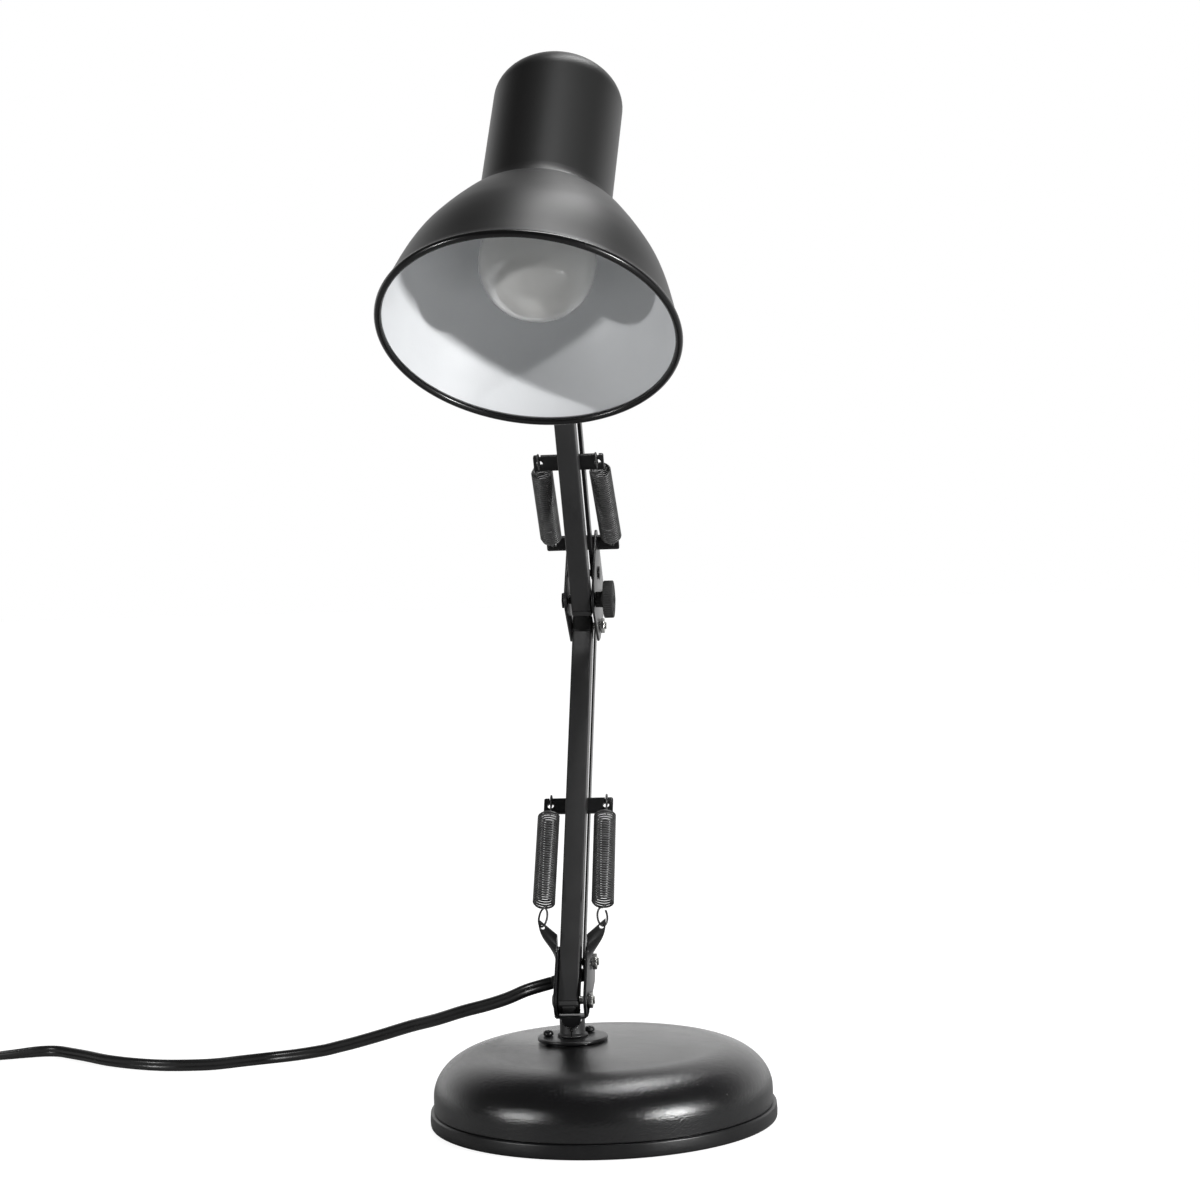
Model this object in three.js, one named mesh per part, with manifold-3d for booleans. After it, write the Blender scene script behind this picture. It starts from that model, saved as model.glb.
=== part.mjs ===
// Desk lamp with a weighted round base and two spring-balanced parallelogram arms.
// Millimetres, +Z up. The origin is the centre of the underside of the base.

import * as THREE from 'three';
import { mergeVertices } from 'three/addons/utils/BufferGeometryUtils.js';
import Module from 'manifold-3d';

// Driving dimensions of the whole lamp
const ARM_PLANE_X = -15.2;
const SWIVEL_Y = 7.5;
const LOWER_LEAN = 35.7;
const UPPER_LEAN = 30.5;
const LOWER_REACH = 221.6;
const UPPER_REACH = 205;
const FOOT_PIVOT = { y: 6.5, z: 58 };
const LINK_STEP = { y: 26.5, z: 14.6 };
const ELBOW_STEP = { y: -23.3, z: 15.2 };
const HEAD_STEP = { y: 21.8, z: 13.6 };
const SHADE_HANG = { x: 2.92, y: -106.46, z: -65.77 };
const SHADE_TILT = 35.03;
const SHADE_YAW = 6.41;

// Clearances and common stock
const GAP = 0.3;
const HOLE_PLAY = 0.35;
const OVERRUN = 4;
const PLATE = 1.3;
const PLATE_INSIDE = 6.7;
const TUBE_SIDE = 10;
const TUBE_WALL = 1;
const TUBE_EDGE = 0.7;
const BOLT_R = 2;
const BOLT_HEAD_R = 3.7;
const BOLT_HEAD_H = 2.2;
const NUT_ACROSS = 7;
const NUT_H = 2.4;
const NUT_STUB = 1;

// Base
const DOME_R = 84;
const DOME_WALL = 1.5;
const DOME_SIDE_TOP = 14.5;
const SHOULDER_SHARE = 0.6667;
const SHOULDER_R = DOME_R * SHOULDER_SHARE;
const SHOULDER_Z = 36.3;
const CROWN_SHARE = 0.66;
const CROWN_R = SHOULDER_R * CROWN_SHARE;
const CROWN_Z = 38;
const RING_PROUD = 2;
const RING_R = DOME_R + RING_PROUD;
const RING_WIDTH = 8;
const RING_IN_R = RING_R - RING_WIDTH;
const RING_H = 7.5;
const RING_EDGE = 1;
const WEIGHT_ROOM = 12;
const WEIGHT_R = DOME_R - WEIGHT_ROOM;
const WEIGHT_LOW = 3;
const WEIGHT_SIDE_TOP = 22;
const WEIGHT_BEVEL = 14;
const WEIGHT_TOP_R = WEIGHT_R - WEIGHT_BEVEL;
const WEIGHT_TOP = 29;
const WEIGHT_BORE_R = 10;
const BOTTOM_LOW = 1;
const BOTTOM_PLATE = 1.5;
const PAD_INSET = 1;
const PAD_R = RING_IN_R - PAD_INSET;
const PAD_H = 0.7;

// Flange and swivel
const FLANGE_R = 17.5;
const FLANGE_H = 1.8;
const FLANGE_EDGE = 0.6;
const FLANGE_SCREW_R = 12.2;
const FLANGE_SCREW_ANGLES = [180, 52];
const SCREW_SHANK_R = 1.5;
const SCREW_HEAD_R = 2.6;
const SCREW_HEAD_H = 2.4;
const SCREW_BELOW = 4.6;
const SPIGOT_R = 5;
const SPIGOT_FOOT_R = 8;
const SPIGOT_FOOT_H = 2;
const SPIGOT_TIP = 0.8;
const SLEEVE_R = 6.35;
const SLEEVE_TOP = 49.3;
const COLLAR_R = 7.6;
const COLLAR_H = 1.4;
const SEAM_HOLE_R = 0.9;
const SEAM_HOLE_Z = 43.9;
const SEAM_SLIT = 0.5;

// Yoke
const YOKE_FRONT_R = 8.4;
const YOKE_REAR_R = 6.8;
const YOKE_BEND_R = 5;
const YOKE_BEND_Z = 50;
const YOKE_FLOOR = 49.6;
const YOKE_STRIP = 11.5;
const YOKE_LEG_TOP = 56;
const YOKE_SHEET = 1.5;
const EAR_WIDTH = 8.8;
const EAR_Y = 19.8;
const EAR_LOW = 73;
const EAR_HIGH = 91.5;
const EAR_TWIST = 78;
const EAR_SLOPE = 0.7;
const EAR_STEPS = 8;
const EAR_HOLE_R = 1.55;
const EAR_HOLE_OUT = 14.4;
const EAR_HOLE_Z = 91.6;
const TAB_Y = 42;
const TAB_Z = 65.5;
const TAB_R = 6;

// Tubes, links and crossbars
const LOWER_TAIL = 2.6;
const LOWER_TOP = 4;
const UPPER_TAIL = 6;
const UPPER_TOP = 3.6;
const CAP_LIP = 1.2;
const CAP_PROUD = 0.3;
const CAP_NOSE = 1.6;
const CAP_NOSE_SIDE = 7;
const LINK_INSIDE = 4.1;
const LINK_SHEET = 1;
const LINK_DEPTH = 7;
const BAR_SHEET = 2;
const BAR_DEPTH = 8;
const BAR_HOLE_R = 1.7;
const BAR_CORNER_R = 1;
const BAR_NOTCH = 1.6;
const BAR_NOTCH_DEPTH = 1.2;
const LOWER_BAR = { along: 115, length: 36.3 };
const UPPER_BAR = { along: 81.4, length: 36.8 };
const ELBOW_BAR = { y: 24.4, z: 31.3, length: 39.4, depth: 8.5 };
const SPRING_X = 14.5;

// Elbow plates, by the pivot that each corner goes round
const ELBOW_LOW_R = 7.4;
const ELBOW_REAR_R = 6.6;
const ELBOW_FRONT_R = 7.6;
const ELBOW_TOP_R = 5.6;
const ELBOW_TIP = { y: -4.4, z: -6.4, r: 1.6 };
const KNOB_R = 10;
const KNOB_H = 5.3;
const KNOB_HUB_R = 4.2;
const KNOB_HUB_H = 4.5;
const KNOB_NUB_R = 1.8;
const KNOB_NUB_H = 0.8;
const KNOB_LOBES = 20;
const KNOB_LOBE_DEPTH = 0.35;
const STUD_R = 2;

// Springs
const SPRING_R = 4.3;
const SPRING_WIRE = 1.3;
const SPRING_CURLS = 14;
const CURL_STEPS = 8;
const WIRE_SIDES = 5;
const SPRING_NECK = 5.4;
const HOOK_R = 2.3;
const HOOK_STEPS = 6;
const END_CURL_SHARE = 0.45;
const CURL_APART = 6;
const HOOK_SWEEP = 200;

// Head
const SWIVEL_AHEAD = 10.46;
const HEAD_LOW_R = 7.2;
const HEAD_REAR_R = 6.6;
const WEB_RISE = 11.2;
const WEB_AHEAD = 17.46;
const WEB_BEHIND = 8.54;
const SWIVEL_STUD_R = 3;
const STUD_HEAD_R = 5;
const STUD_HEAD_H = 1.8;
const BARREL_R = 6.5;
const BARREL_H = 13;
const STUD_NUT_ACROSS = 10;
const STUD_NUT_H = 3;
const TILT_RISE = 8.5;
const TILT_PIN_R = 3;
const TILT_BOSS_R = 5;
const STRAP_SHEET = 2;
const STRAP_DEPTH = 12;
const STRAP_FOOT = 24;
const STRAP_FOOT_SHEET = 1.5;
const STRAP_FOOT_SHARE = 0.9;
const STRAP_EDGE_R = 1;
const TILT_KNOB_R = 8;
const TILT_KNOB_H = 7;
const TILT_LOBES = 6;
const TILT_LOBE_DEPTH = 1.6;

// Shade, along its own axis from the rim
const RIM_R = 69;
const NECK_R = 30.9;
const SHADE_WALL = 0.9;
const BELL_H = 55.6;
const BELL_FOOT_R = 32.2;
const BELL_RISE = 0.93;
const BELL_ROUND = 2.37;
const SHADE_L = 158.7;
const DOME_CAP_H = 22.4;
const DOME_CAP_ROUND = 1.34;
const RIM_BEAD_R = 1.1;
const BULB_R = 27.5;
const BULB_NECK_R = 12.6;
const BULB_NECK_L = 40;
const BULB_THROAT_SHARE = 0.12;
const BULB_CAP_R = 13;
const BULB_CAP_L = 28;
const BULB_CAP_TIP_R = 6;
const HOLDER_R = 19;
const HOLDER_BORE_R = 14;
const HOLDER_HANG = 30.7;
const HOLDER_L = 48;
const HOLDER_BORE_L = 32;
const HOLDER_LIP_R = 21;
const HOLDER_LIP_H = 4;
const HOLDER_TOP = SHADE_L - HOLDER_HANG;
const HOLDER_LOW = HOLDER_TOP - HOLDER_L;
const HOLDER_FLOOR = HOLDER_LOW + HOLDER_BORE_L;
const BULB_S = HOLDER_LOW - BULB_NECK_L;
const BULB_CAP_TOP = HOLDER_LOW + BULB_CAP_L;
const NIPPLE_R = 5;
const NIPPLE_STUB = 3;
const SWITCH_S = 86;
const SWITCH_R = 5;
const SWITCH_BODY_L = 10;
const SWITCH_COLLAR_R = 7.5;
const SWITCH_COLLAR_H = 2.4;
const BUTTON_R = 3;
const BUTTON_OUT = 4;
const BUTTON_IN = 4;

// Flat twin cord: route by hand from the strain relief to the coil, then a coil on the table
const CORD_WIDE = 6.2;
const CORD_THICK = 4;
const CORD_SIDES = 8;
const RELIEF = { x: -28.6, y: 41, z: 60.6, thickR: 5, thinR: 3.9 };
const RELIEF_RIBS = 4;
const RELIEF_GROOVE = 0.6;
const CORD_ROUTE = [
  [-28.6, 41, 60.6], [-32.5, 40.8, 59.6], [-42, 43, 56.6], [-53, 48.5, 51.4], [-65, 55, 46.8],
  [-77.8, 62, 42.6], [-94, 73, 36.2], [-109.9, 85, 30.5], [-126.5, 95.3, 24.2], [-143.1, 105, 18.2],
  [-155, 112.2, 14.2], [-165.7, 118, 10.8], [-181.5, 124.2, 6.9], [-197.6, 128, 4.2], [-212, 126.5, 2.9],
  [-226.4, 122.1, 2.3], [-241.5, 120.2, 2.3], [-255.9, 121.1, 2.3], [-273, 126.6, 2.3], [-290.4, 136, 2.3],
  [-304, 146.8, 2.3], [-316.8, 156.1, 2.3], [-326.4, 162.2, 2.3], [-335.8, 163.3, 2.3], [-349.3, 157.9, 2.4],
  [-361, 151.6, 2.7],
];
const CORD_STEPS = 30;
const CORD_LANDS_Z = 4.5;
const CORD_LENGTH = 1800;
const COIL_CENTRE = { x: -416.5, y: 172.6 };
const COIL_TURNS = 6;
const COIL_STEPS = 24;
const COIL_SIDES = 6;
const COIL_OUT_R = 45;
const COIL_PITCH = 6.8;
const COIL_LIFT = 3;
const COIL_LAYER = 4.7;
const COIL_CLIMB = 0.5;
const COIL_START = -61;
const TAIL_HOLD = 30;
const TAIL_DROP = 34;
const TAIL_END = 14;
const TAIL_STEPS = 3;
const TIE_ANGLE = 70;
const TIE_SHEET = 0.6;
const TIE_WIDTH = 8;
const PLUG_WIDE = 33;
const PLUG_LONG = 34;
const PLUG_THICK = 13;
const PLUG_BACK = 14;
const PLUG_CORNER = 5;
const PIN_PLUG_R = 2;
const PIN_PLUG_L = 19;
const PIN_PLUG_HALF = 9.2;

// Facets
const FINE = 38;
const ROUND = 28;
const SMALL = 12;
const TINY = 10;
const ARC_STEPS = 5;
const INNER_STEPS = 3;
const WRAP_STEP = 25.7;

const FULL = 2 * Math.PI;
const radians = (degrees) => degrees * Math.PI / 180;

// Finishes
const FINISH = {
  blackSteel: { color: 0x17181a, roughness: 0.42, metalness: 0.5 },
  blackGloss: { color: 0x101113, roughness: 0.28, metalness: 0.3 },
  greyTube: { color: 0x3a3a3c, roughness: 0.45, metalness: 0.6 },
  zinc: { color: 0xb9bcc0, roughness: 0.35, metalness: 0.9 },
  springSteel: { color: 0x9a9ca0, roughness: 0.3, metalness: 0.95 },
  castIron: { color: 0x3b3a38, roughness: 0.8, metalness: 0.6 },
  plastic: { color: 0x1c1c1e, roughness: 0.55, metalness: 0 },
  cord: { color: 0x141415, roughness: 0.5, metalness: 0 },
  rubber: { color: 0x202020, roughness: 0.9, metalness: 0 },
  opal: { color: 0xf4f2ea, roughness: 0.35, metalness: 0 },
  shadePaint: { color: 0x17181a, roughness: 0.38, metalness: 0.3 },
};

const wasm = await Module();
wasm.setup();

const lamp = new THREE.Group();
lamp.name = 'desk_lamp';

// Mesh and solid helpers

function addMesh(parent, name, geometry, finish) {
  const material = new THREE.MeshStandardMaterial({ ...finish });
  const mesh = new THREE.Mesh(geometry, material);
  mesh.name = name;
  parent.add(mesh);
  return mesh;
}

function toSolid(geometry) {
  const clean = geometry.index ? geometry.toNonIndexed() : geometry.clone();
  clean.deleteAttribute('normal');
  clean.deleteAttribute('uv');
  const merged = mergeVertices(clean, 1e-4);
  const vertProperties = new Float32Array(merged.attributes.position.array);
  const triVerts = new Uint32Array(merged.index.array);
  return new wasm.Manifold(new wasm.Mesh({ numProp: 3, vertProperties, triVerts }));
}

function toGeometry(solid) {
  const mesh = solid.getMesh();
  const geometry = new THREE.BufferGeometry();
  geometry.setAttribute('position', new THREE.BufferAttribute(new Float32Array(mesh.vertProperties), 3));
  geometry.setIndex(new THREE.BufferAttribute(new Uint32Array(mesh.triVerts), 1));
  geometry.computeVertexNormals();
  return geometry;
}

function cut(geometry, ...cutters) {
  return toGeometry(cutters.reduce((solid, cutter) => solid.subtract(toSolid(cutter)), toSolid(geometry)));
}

function join(geometry, ...others) {
  return toGeometry(others.reduce((solid, other) => solid.add(toSolid(other)), toSolid(geometry)));
}

// A profile of [radius, height] points turned about Z
function turned(profile, segments) {
  const points = profile.map(([r, z]) => new THREE.Vector2(r, z));
  const geometry = new THREE.LatheGeometry(points, segments);
  geometry.rotateX(Math.PI / 2);
  return geometry;
}

// A profile that closes on itself, with a bore
function turnedRing(profile, segments) {
  return turned([...profile, profile[0]], segments);
}

// A cylinder whose axis is X, Y or Z, standing from one end
function rod(radius, length, axis, segments) {
  const geometry = new THREE.CylinderGeometry(radius, radius, length, segments);
  geometry.translate(0, length / 2, 0);
  if (axis === 'x') geometry.rotateZ(-Math.PI / 2);
  if (axis === 'z') geometry.rotateX(Math.PI / 2);
  return geometry;
}

// Turns a shape drawn in the YZ plane and extruded by a thickness towards +X
function sidePlate(shape, thickness, fromX) {
  const settings = { depth: thickness, bevelEnabled: false, curveSegments: ARC_STEPS };
  const geometry = new THREE.ExtrudeGeometry(shape, settings);
  const turn = new THREE.Matrix4().makeBasis(
    new THREE.Vector3(0, 1, 0), new THREE.Vector3(0, 0, 1), new THREE.Vector3(1, 0, 0));
  geometry.applyMatrix4(turn);
  geometry.translate(fromX, 0, 0);
  return geometry;
}

// The outline that wraps a convex, counter-clockwise ring of discs
function wrapDiscs(discs) {
  const normals = discs.map((disc, i) => {
    const next = discs[(i + 1) % discs.length];
    const dy = next.y - disc.y;
    const dz = next.z - disc.z;
    const reach = Math.hypot(dy, dz);
    return Math.atan2(dz, dy) - Math.PI / 2 - Math.asin((next.r - disc.r) / reach);
  });
  const points = [];
  discs.forEach((disc, i) => {
    const from = normals[(i + discs.length - 1) % discs.length];
    let to = normals[i];
    while (to < from) to += FULL;
    const steps = Math.max(1, Math.ceil((to - from) / radians(WRAP_STEP)));
    for (let k = 0; k <= steps; k += 1) {
      const angle = from + (to - from) * k / steps;
      points.push(new THREE.Vector2(disc.y + disc.r * Math.cos(angle), disc.z + disc.r * Math.sin(angle)));
    }
  });
  return new THREE.Shape(points);
}

function roundHole(y, z, radius) {
  const path = new THREE.Path();
  path.absarc(y, z, radius, 0, FULL, true);
  return path;
}

// A rectangle with rounded corners, centred
function roundedRect(width, height, radius) {
  const shape = new THREE.Shape();
  const x = width / 2 - radius;
  const y = height / 2 - radius;
  shape.absarc(x, y, radius, 0, Math.PI / 2, false);
  shape.absarc(-x, y, radius, Math.PI / 2, Math.PI, false);
  shape.absarc(-x, -y, radius, Math.PI, Math.PI * 3 / 2, false);
  shape.absarc(x, -y, radius, Math.PI * 3 / 2, FULL, false);
  return shape;
}

// An unbroken tube along points, with an oval section whose wide side lies level where it can.
// ends can hold the directions that the first and last faces are square to
function tubeAlong(points, wide, thick, sides, level, ends = {}) {
  const positions = [];
  const index = [];
  let side = null;
  points.forEach((point, i) => {
    const before = points[Math.max(0, i - 1)];
    const after = points[Math.min(points.length - 1, i + 1)];
    let along = after.clone().sub(before).normalize();
    if (i === 0 && ends.first) along = ends.first;
    if (i === points.length - 1 && ends.last) along = ends.last;
    if (level) {
      side = new THREE.Vector3(0, 0, 1).cross(along).normalize();
    } else {
      const seed = side ?? new THREE.Vector3(1, 0, 0);
      side = seed.clone().addScaledVector(along, -seed.dot(along)).normalize();
    }
    const up = along.clone().cross(side);
    for (let k = 0; k < sides; k += 1) {
      const angle = FULL * (k + 0.5) / sides;
      const spot = point.clone()
        .addScaledVector(side, wide / 2 * Math.cos(angle))
        .addScaledVector(up, thick / 2 * Math.sin(angle));
      positions.push(spot.x, spot.y, spot.z);
    }
  });
  const rings = points.length;
  for (let i = 0; i < rings - 1; i += 1) {
    for (let k = 0; k < sides; k += 1) {
      const a = i * sides + k;
      const b = i * sides + (k + 1) % sides;
      index.push(a, b, b + sides, a, b + sides, a + sides);
    }
  }
  const last = (rings - 1) * sides;
  for (let k = 1; k < sides - 1; k += 1) {
    index.push(0, k + 1, k);
    index.push(last, last + k, last + k + 1);
  }
  const geometry = new THREE.BufferGeometry();
  geometry.setAttribute('position', new THREE.Float32BufferAttribute(positions, 3));
  geometry.setIndex(index);
  geometry.computeVertexNormals();
  return geometry;
}

// Least gap of a wound tube to itself, between places more than one turn's share apart
function leastSelfGap(points, thickness, apart) {
  let least = Infinity;
  for (let i = 0; i < points.length; i += 1) {
    for (let j = i + apart; j < points.length; j += 1) {
      least = Math.min(least, points[i].distanceTo(points[j]));
    }
  }
  return least - thickness;
}

function hexNut(across, bore, height) {
  const shape = new THREE.Shape();
  const corner = across / 2 / Math.cos(Math.PI / 6);
  for (let k = 0; k < 6; k += 1) {
    const angle = FULL * k / 6;
    const act = k === 0 ? 'moveTo' : 'lineTo';
    shape[act](corner * Math.cos(angle), corner * Math.sin(angle));
  }
  shape.closePath();
  shape.holes.push(roundHole(0, 0, bore));
  return new THREE.ExtrudeGeometry(shape, { depth: height, bevelEnabled: false, curveSegments: ARC_STEPS });
}

const pivotAt = (from, step) => ({ y: from.y + step.y, z: from.z + step.z });
const alongLean = (from, lean, reach) => ({
  y: from.y + reach * Math.sin(radians(lean)),
  z: from.z + reach * Math.cos(radians(lean)),
});

// Pivots of the two parallelograms, in the arm's plane
const LOWER_LINK_PIVOT = pivotAt(FOOT_PIVOT, LINK_STEP);
const ELBOW_PIVOT = alongLean(FOOT_PIVOT, LOWER_LEAN, LOWER_REACH);
const ELBOW_LINK_PIVOT = pivotAt(ELBOW_PIVOT, LINK_STEP);
const UPPER_PIVOT = pivotAt(ELBOW_PIVOT, ELBOW_STEP);
const UPPER_LINK_PIVOT = pivotAt(UPPER_PIVOT, HEAD_STEP);
const HEAD_PIVOT = alongLean(UPPER_PIVOT, -UPPER_LEAN, UPPER_REACH);
const HEAD_LINK_PIVOT = pivotAt(HEAD_PIVOT, HEAD_STEP);
const PLATE_OUTSIDE = PLATE_INSIDE + PLATE;
const WEB_LOW = HEAD_PIVOT.z + WEB_RISE;
const WEB_FRONT = HEAD_PIVOT.y - WEB_AHEAD;
const WEB_BACK = HEAD_PIVOT.y + WEB_BEHIND;
const HEAD_SWIVEL_Y = HEAD_PIVOT.y - SWIVEL_AHEAD;
const TILT_Z = WEB_LOW + TILT_RISE;

// Everything in the arm's plane hangs in this group, whose x is the distance from that plane
const armPlane = new THREE.Group();
armPlane.name = 'arm_plane';
armPlane.position.x = ARM_PLANE_X;
lamp.add(armPlane);

// Base

function domeProfile(inset, steps) {
  const radius = DOME_R - SHOULDER_R - inset;
  const height = SHOULDER_Z - DOME_SIDE_TOP - inset;
  const profile = [];
  for (let k = 0; k <= steps; k += 1) {
    const angle = Math.PI / 2 * k / steps;
    profile.push([SHOULDER_R + radius * Math.cos(angle), DOME_SIDE_TOP + height * Math.sin(angle)]);
  }
  return [[DOME_R - inset, RING_H + GAP], ...profile, [CROWN_R, CROWN_Z - inset]];
}

function flangeScrewPlaces() {
  return FLANGE_SCREW_ANGLES.map((degrees) => ({
    x: ARM_PLANE_X + FLANGE_SCREW_R * Math.cos(radians(degrees)),
    y: SWIVEL_Y + FLANGE_SCREW_R * Math.sin(radians(degrees)),
  }));
}

function buildBase() {
  const ring = turnedRing([
    [RING_IN_R, GAP], [RING_R - RING_EDGE, GAP], [RING_R, GAP + RING_EDGE], [RING_R, RING_H - RING_EDGE],
    [RING_R - RING_EDGE, RING_H], [RING_IN_R, RING_H],
  ], FINE);
  addMesh(lamp, 'base_ring', ring, FINISH.blackGloss);

  const outer = domeProfile(0, ARC_STEPS);
  const inner = domeProfile(DOME_WALL, INNER_STEPS).reverse();
  const shell = turned([...[[0, CROWN_Z - DOME_WALL]], ...inner, ...outer, [0, CROWN_Z]], FINE);
  const holes = flangeScrewPlaces().map(({ x, y }) => {
    const hole = rod(SCREW_SHANK_R + HOLE_PLAY, DOME_WALL + OVERRUN, 'z', TINY);
    hole.translate(x, y, CROWN_Z - DOME_WALL - OVERRUN / 2);
    return hole;
  });
  const bore = rod(SPIGOT_R + HOLE_PLAY, DOME_WALL + OVERRUN, 'z', SMALL);
  bore.translate(ARM_PLANE_X, SWIVEL_Y, CROWN_Z - DOME_WALL - OVERRUN / 2);
  addMesh(lamp, 'base_dome', cut(shell, bore, ...holes), FINISH.blackGloss);

  const weight = turnedRing([
    [WEIGHT_BORE_R, WEIGHT_LOW], [WEIGHT_R, WEIGHT_LOW], [WEIGHT_R, WEIGHT_SIDE_TOP],
    [WEIGHT_TOP_R, WEIGHT_TOP], [WEIGHT_BORE_R, WEIGHT_TOP],
  ], ROUND);
  addMesh(lamp, 'base_weight', weight, FINISH.castIron);

  const plate = rod(RING_IN_R - HOLE_PLAY, BOTTOM_PLATE, 'z', FINE);
  plate.translate(0, 0, BOTTOM_LOW);
  addMesh(lamp, 'bottom_plate', plate, FINISH.blackSteel);
  addMesh(lamp, 'base_pad', rod(PAD_R, PAD_H, 'z', FINE), FINISH.rubber);
}

// Flange, its screws and the spigot that the arm turns on

function buildFlange() {
  const low = CROWN_Z + GAP;
  const disc = turnedRing([
    [SPIGOT_R + HOLE_PLAY, low], [FLANGE_R, low], [FLANGE_R, low + FLANGE_H - FLANGE_EDGE],
    [FLANGE_R - FLANGE_EDGE, low + FLANGE_H], [SPIGOT_R + HOLE_PLAY, low + FLANGE_H],
  ], ROUND);
  disc.translate(ARM_PLANE_X, SWIVEL_Y, 0);
  const places = flangeScrewPlaces();
  const holes = places.map(({ x, y }) => {
    const hole = rod(SCREW_SHANK_R + HOLE_PLAY, FLANGE_H + OVERRUN, 'z', TINY);
    hole.translate(x, y, low - OVERRUN / 2);
    return hole;
  });
  addMesh(lamp, 'swivel_flange', cut(disc, ...holes), FINISH.blackSteel);

  const seat = low + FLANGE_H + GAP;
  places.forEach(({ x, y }, i) => {
    const screw = turned([
      [0, CROWN_Z - DOME_WALL - SCREW_BELOW], [SCREW_SHANK_R, CROWN_Z - DOME_WALL - SCREW_BELOW],
      [SCREW_SHANK_R, seat], [SCREW_HEAD_R, seat],
      [SCREW_HEAD_R, seat + SCREW_HEAD_H], [0, seat + SCREW_HEAD_H],
    ], TINY);
    screw.translate(x, y, 0);
    addMesh(lamp, `flange_screw_${i + 1}`, screw, FINISH.blackSteel);
  });

  const footTop = CROWN_Z - DOME_WALL - GAP;
  const tip = YOKE_BEND_Z - YOKE_BEND_R - GAP;
  const spigot = turned([
    [0, footTop - SPIGOT_FOOT_H], [SPIGOT_FOOT_R, footTop - SPIGOT_FOOT_H], [SPIGOT_FOOT_R, footTop],
    [SPIGOT_R, footTop], [SPIGOT_R, tip - SPIGOT_TIP], [SPIGOT_R - SPIGOT_TIP, tip], [0, tip],
  ], SMALL);
  spigot.translate(ARM_PLANE_X, SWIVEL_Y, 0);
  addMesh(lamp, 'swivel_spigot', spigot, FINISH.zinc);
}

// Foot: sleeve with a fish-mouth top, and the folded yoke with its twisted ears

function buildSleeve() {
  const low = CROWN_Z + GAP + FLANGE_H + GAP;
  const bore = SPIGOT_R + HOLE_PLAY;
  const sleeve = turnedRing([
    [bore, low], [COLLAR_R, low], [COLLAR_R, low + COLLAR_H / 2], [SLEEVE_R, low + COLLAR_H],
    [SLEEVE_R, SLEEVE_TOP], [bore, SLEEVE_TOP],
  ], SMALL + ARC_STEPS);
  sleeve.translate(0, SWIVEL_Y, 0);
  const mouth = rod(YOKE_BEND_R + GAP, 4 * SLEEVE_R, 'y', SMALL + TINY);
  mouth.translate(0, SWIVEL_Y - 2 * SLEEVE_R, YOKE_BEND_Z);
  const hole = rod(SEAM_HOLE_R, 2 * SLEEVE_R, 'y', TINY);
  hole.translate(0, SWIVEL_Y - 2 * SLEEVE_R, SEAM_HOLE_Z);
  const slitHigh = SEAM_HOLE_Z - low + OVERRUN;
  const slit = new THREE.BoxGeometry(SEAM_SLIT, 2 * SLEEVE_R, slitHigh);
  slit.translate(0, SWIVEL_Y - SLEEVE_R, SEAM_HOLE_Z - slitHigh / 2);
  addMesh(armPlane, 'swivel_sleeve', cut(sleeve, mouth, hole, slit), FINISH.greyTube);
}

// A strip that rises from a cheek and twists until its flat faces forward
function twistedEar(sign) {
  const corners = [[-1, -1], [1, -1], [1, 1], [-1, 1]];
  const positions = [];
  const index = [];
  for (let i = 0; i <= EAR_STEPS; i += 1) {
    const t = i / EAR_STEPS;
    const turn = radians(EAR_TWIST) * (3 * t * t - 2 * t * t * t);
    const centreX = PLATE_INSIDE + YOKE_SHEET / 2 + EAR_WIDTH / 2 * Math.sin(turn);
    corners.forEach(([w, h]) => {
      const across = w * EAR_WIDTH / 2;
      const depth = h * YOKE_SHEET / 2;
      const x = centreX + across * Math.sin(turn) + depth * Math.cos(turn);
      const y = EAR_Y + across * Math.cos(turn) - depth * Math.sin(turn);
      positions.push(sign * x, y, EAR_LOW + (EAR_HIGH - EAR_LOW) * t + EAR_SLOPE * t * across);
    });
  }
  for (let i = 0; i < EAR_STEPS; i += 1) {
    for (let k = 0; k < 4; k += 1) {
      const a = i * 4 + k;
      const b = i * 4 + (k + 1) % 4;
      index.push(a, b + 4, b, a, a + 4, b + 4);
    }
  }
  const top = EAR_STEPS * 4;
  index.push(0, 1, 2, 0, 2, 3, top, top + 2, top + 1, top, top + 3, top + 2);
  if (sign < 0) index.reverse();
  const geometry = new THREE.BufferGeometry();
  geometry.setAttribute('position', new THREE.Float32BufferAttribute(positions, 3));
  geometry.setIndex(index);
  return geometry;
}

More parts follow.
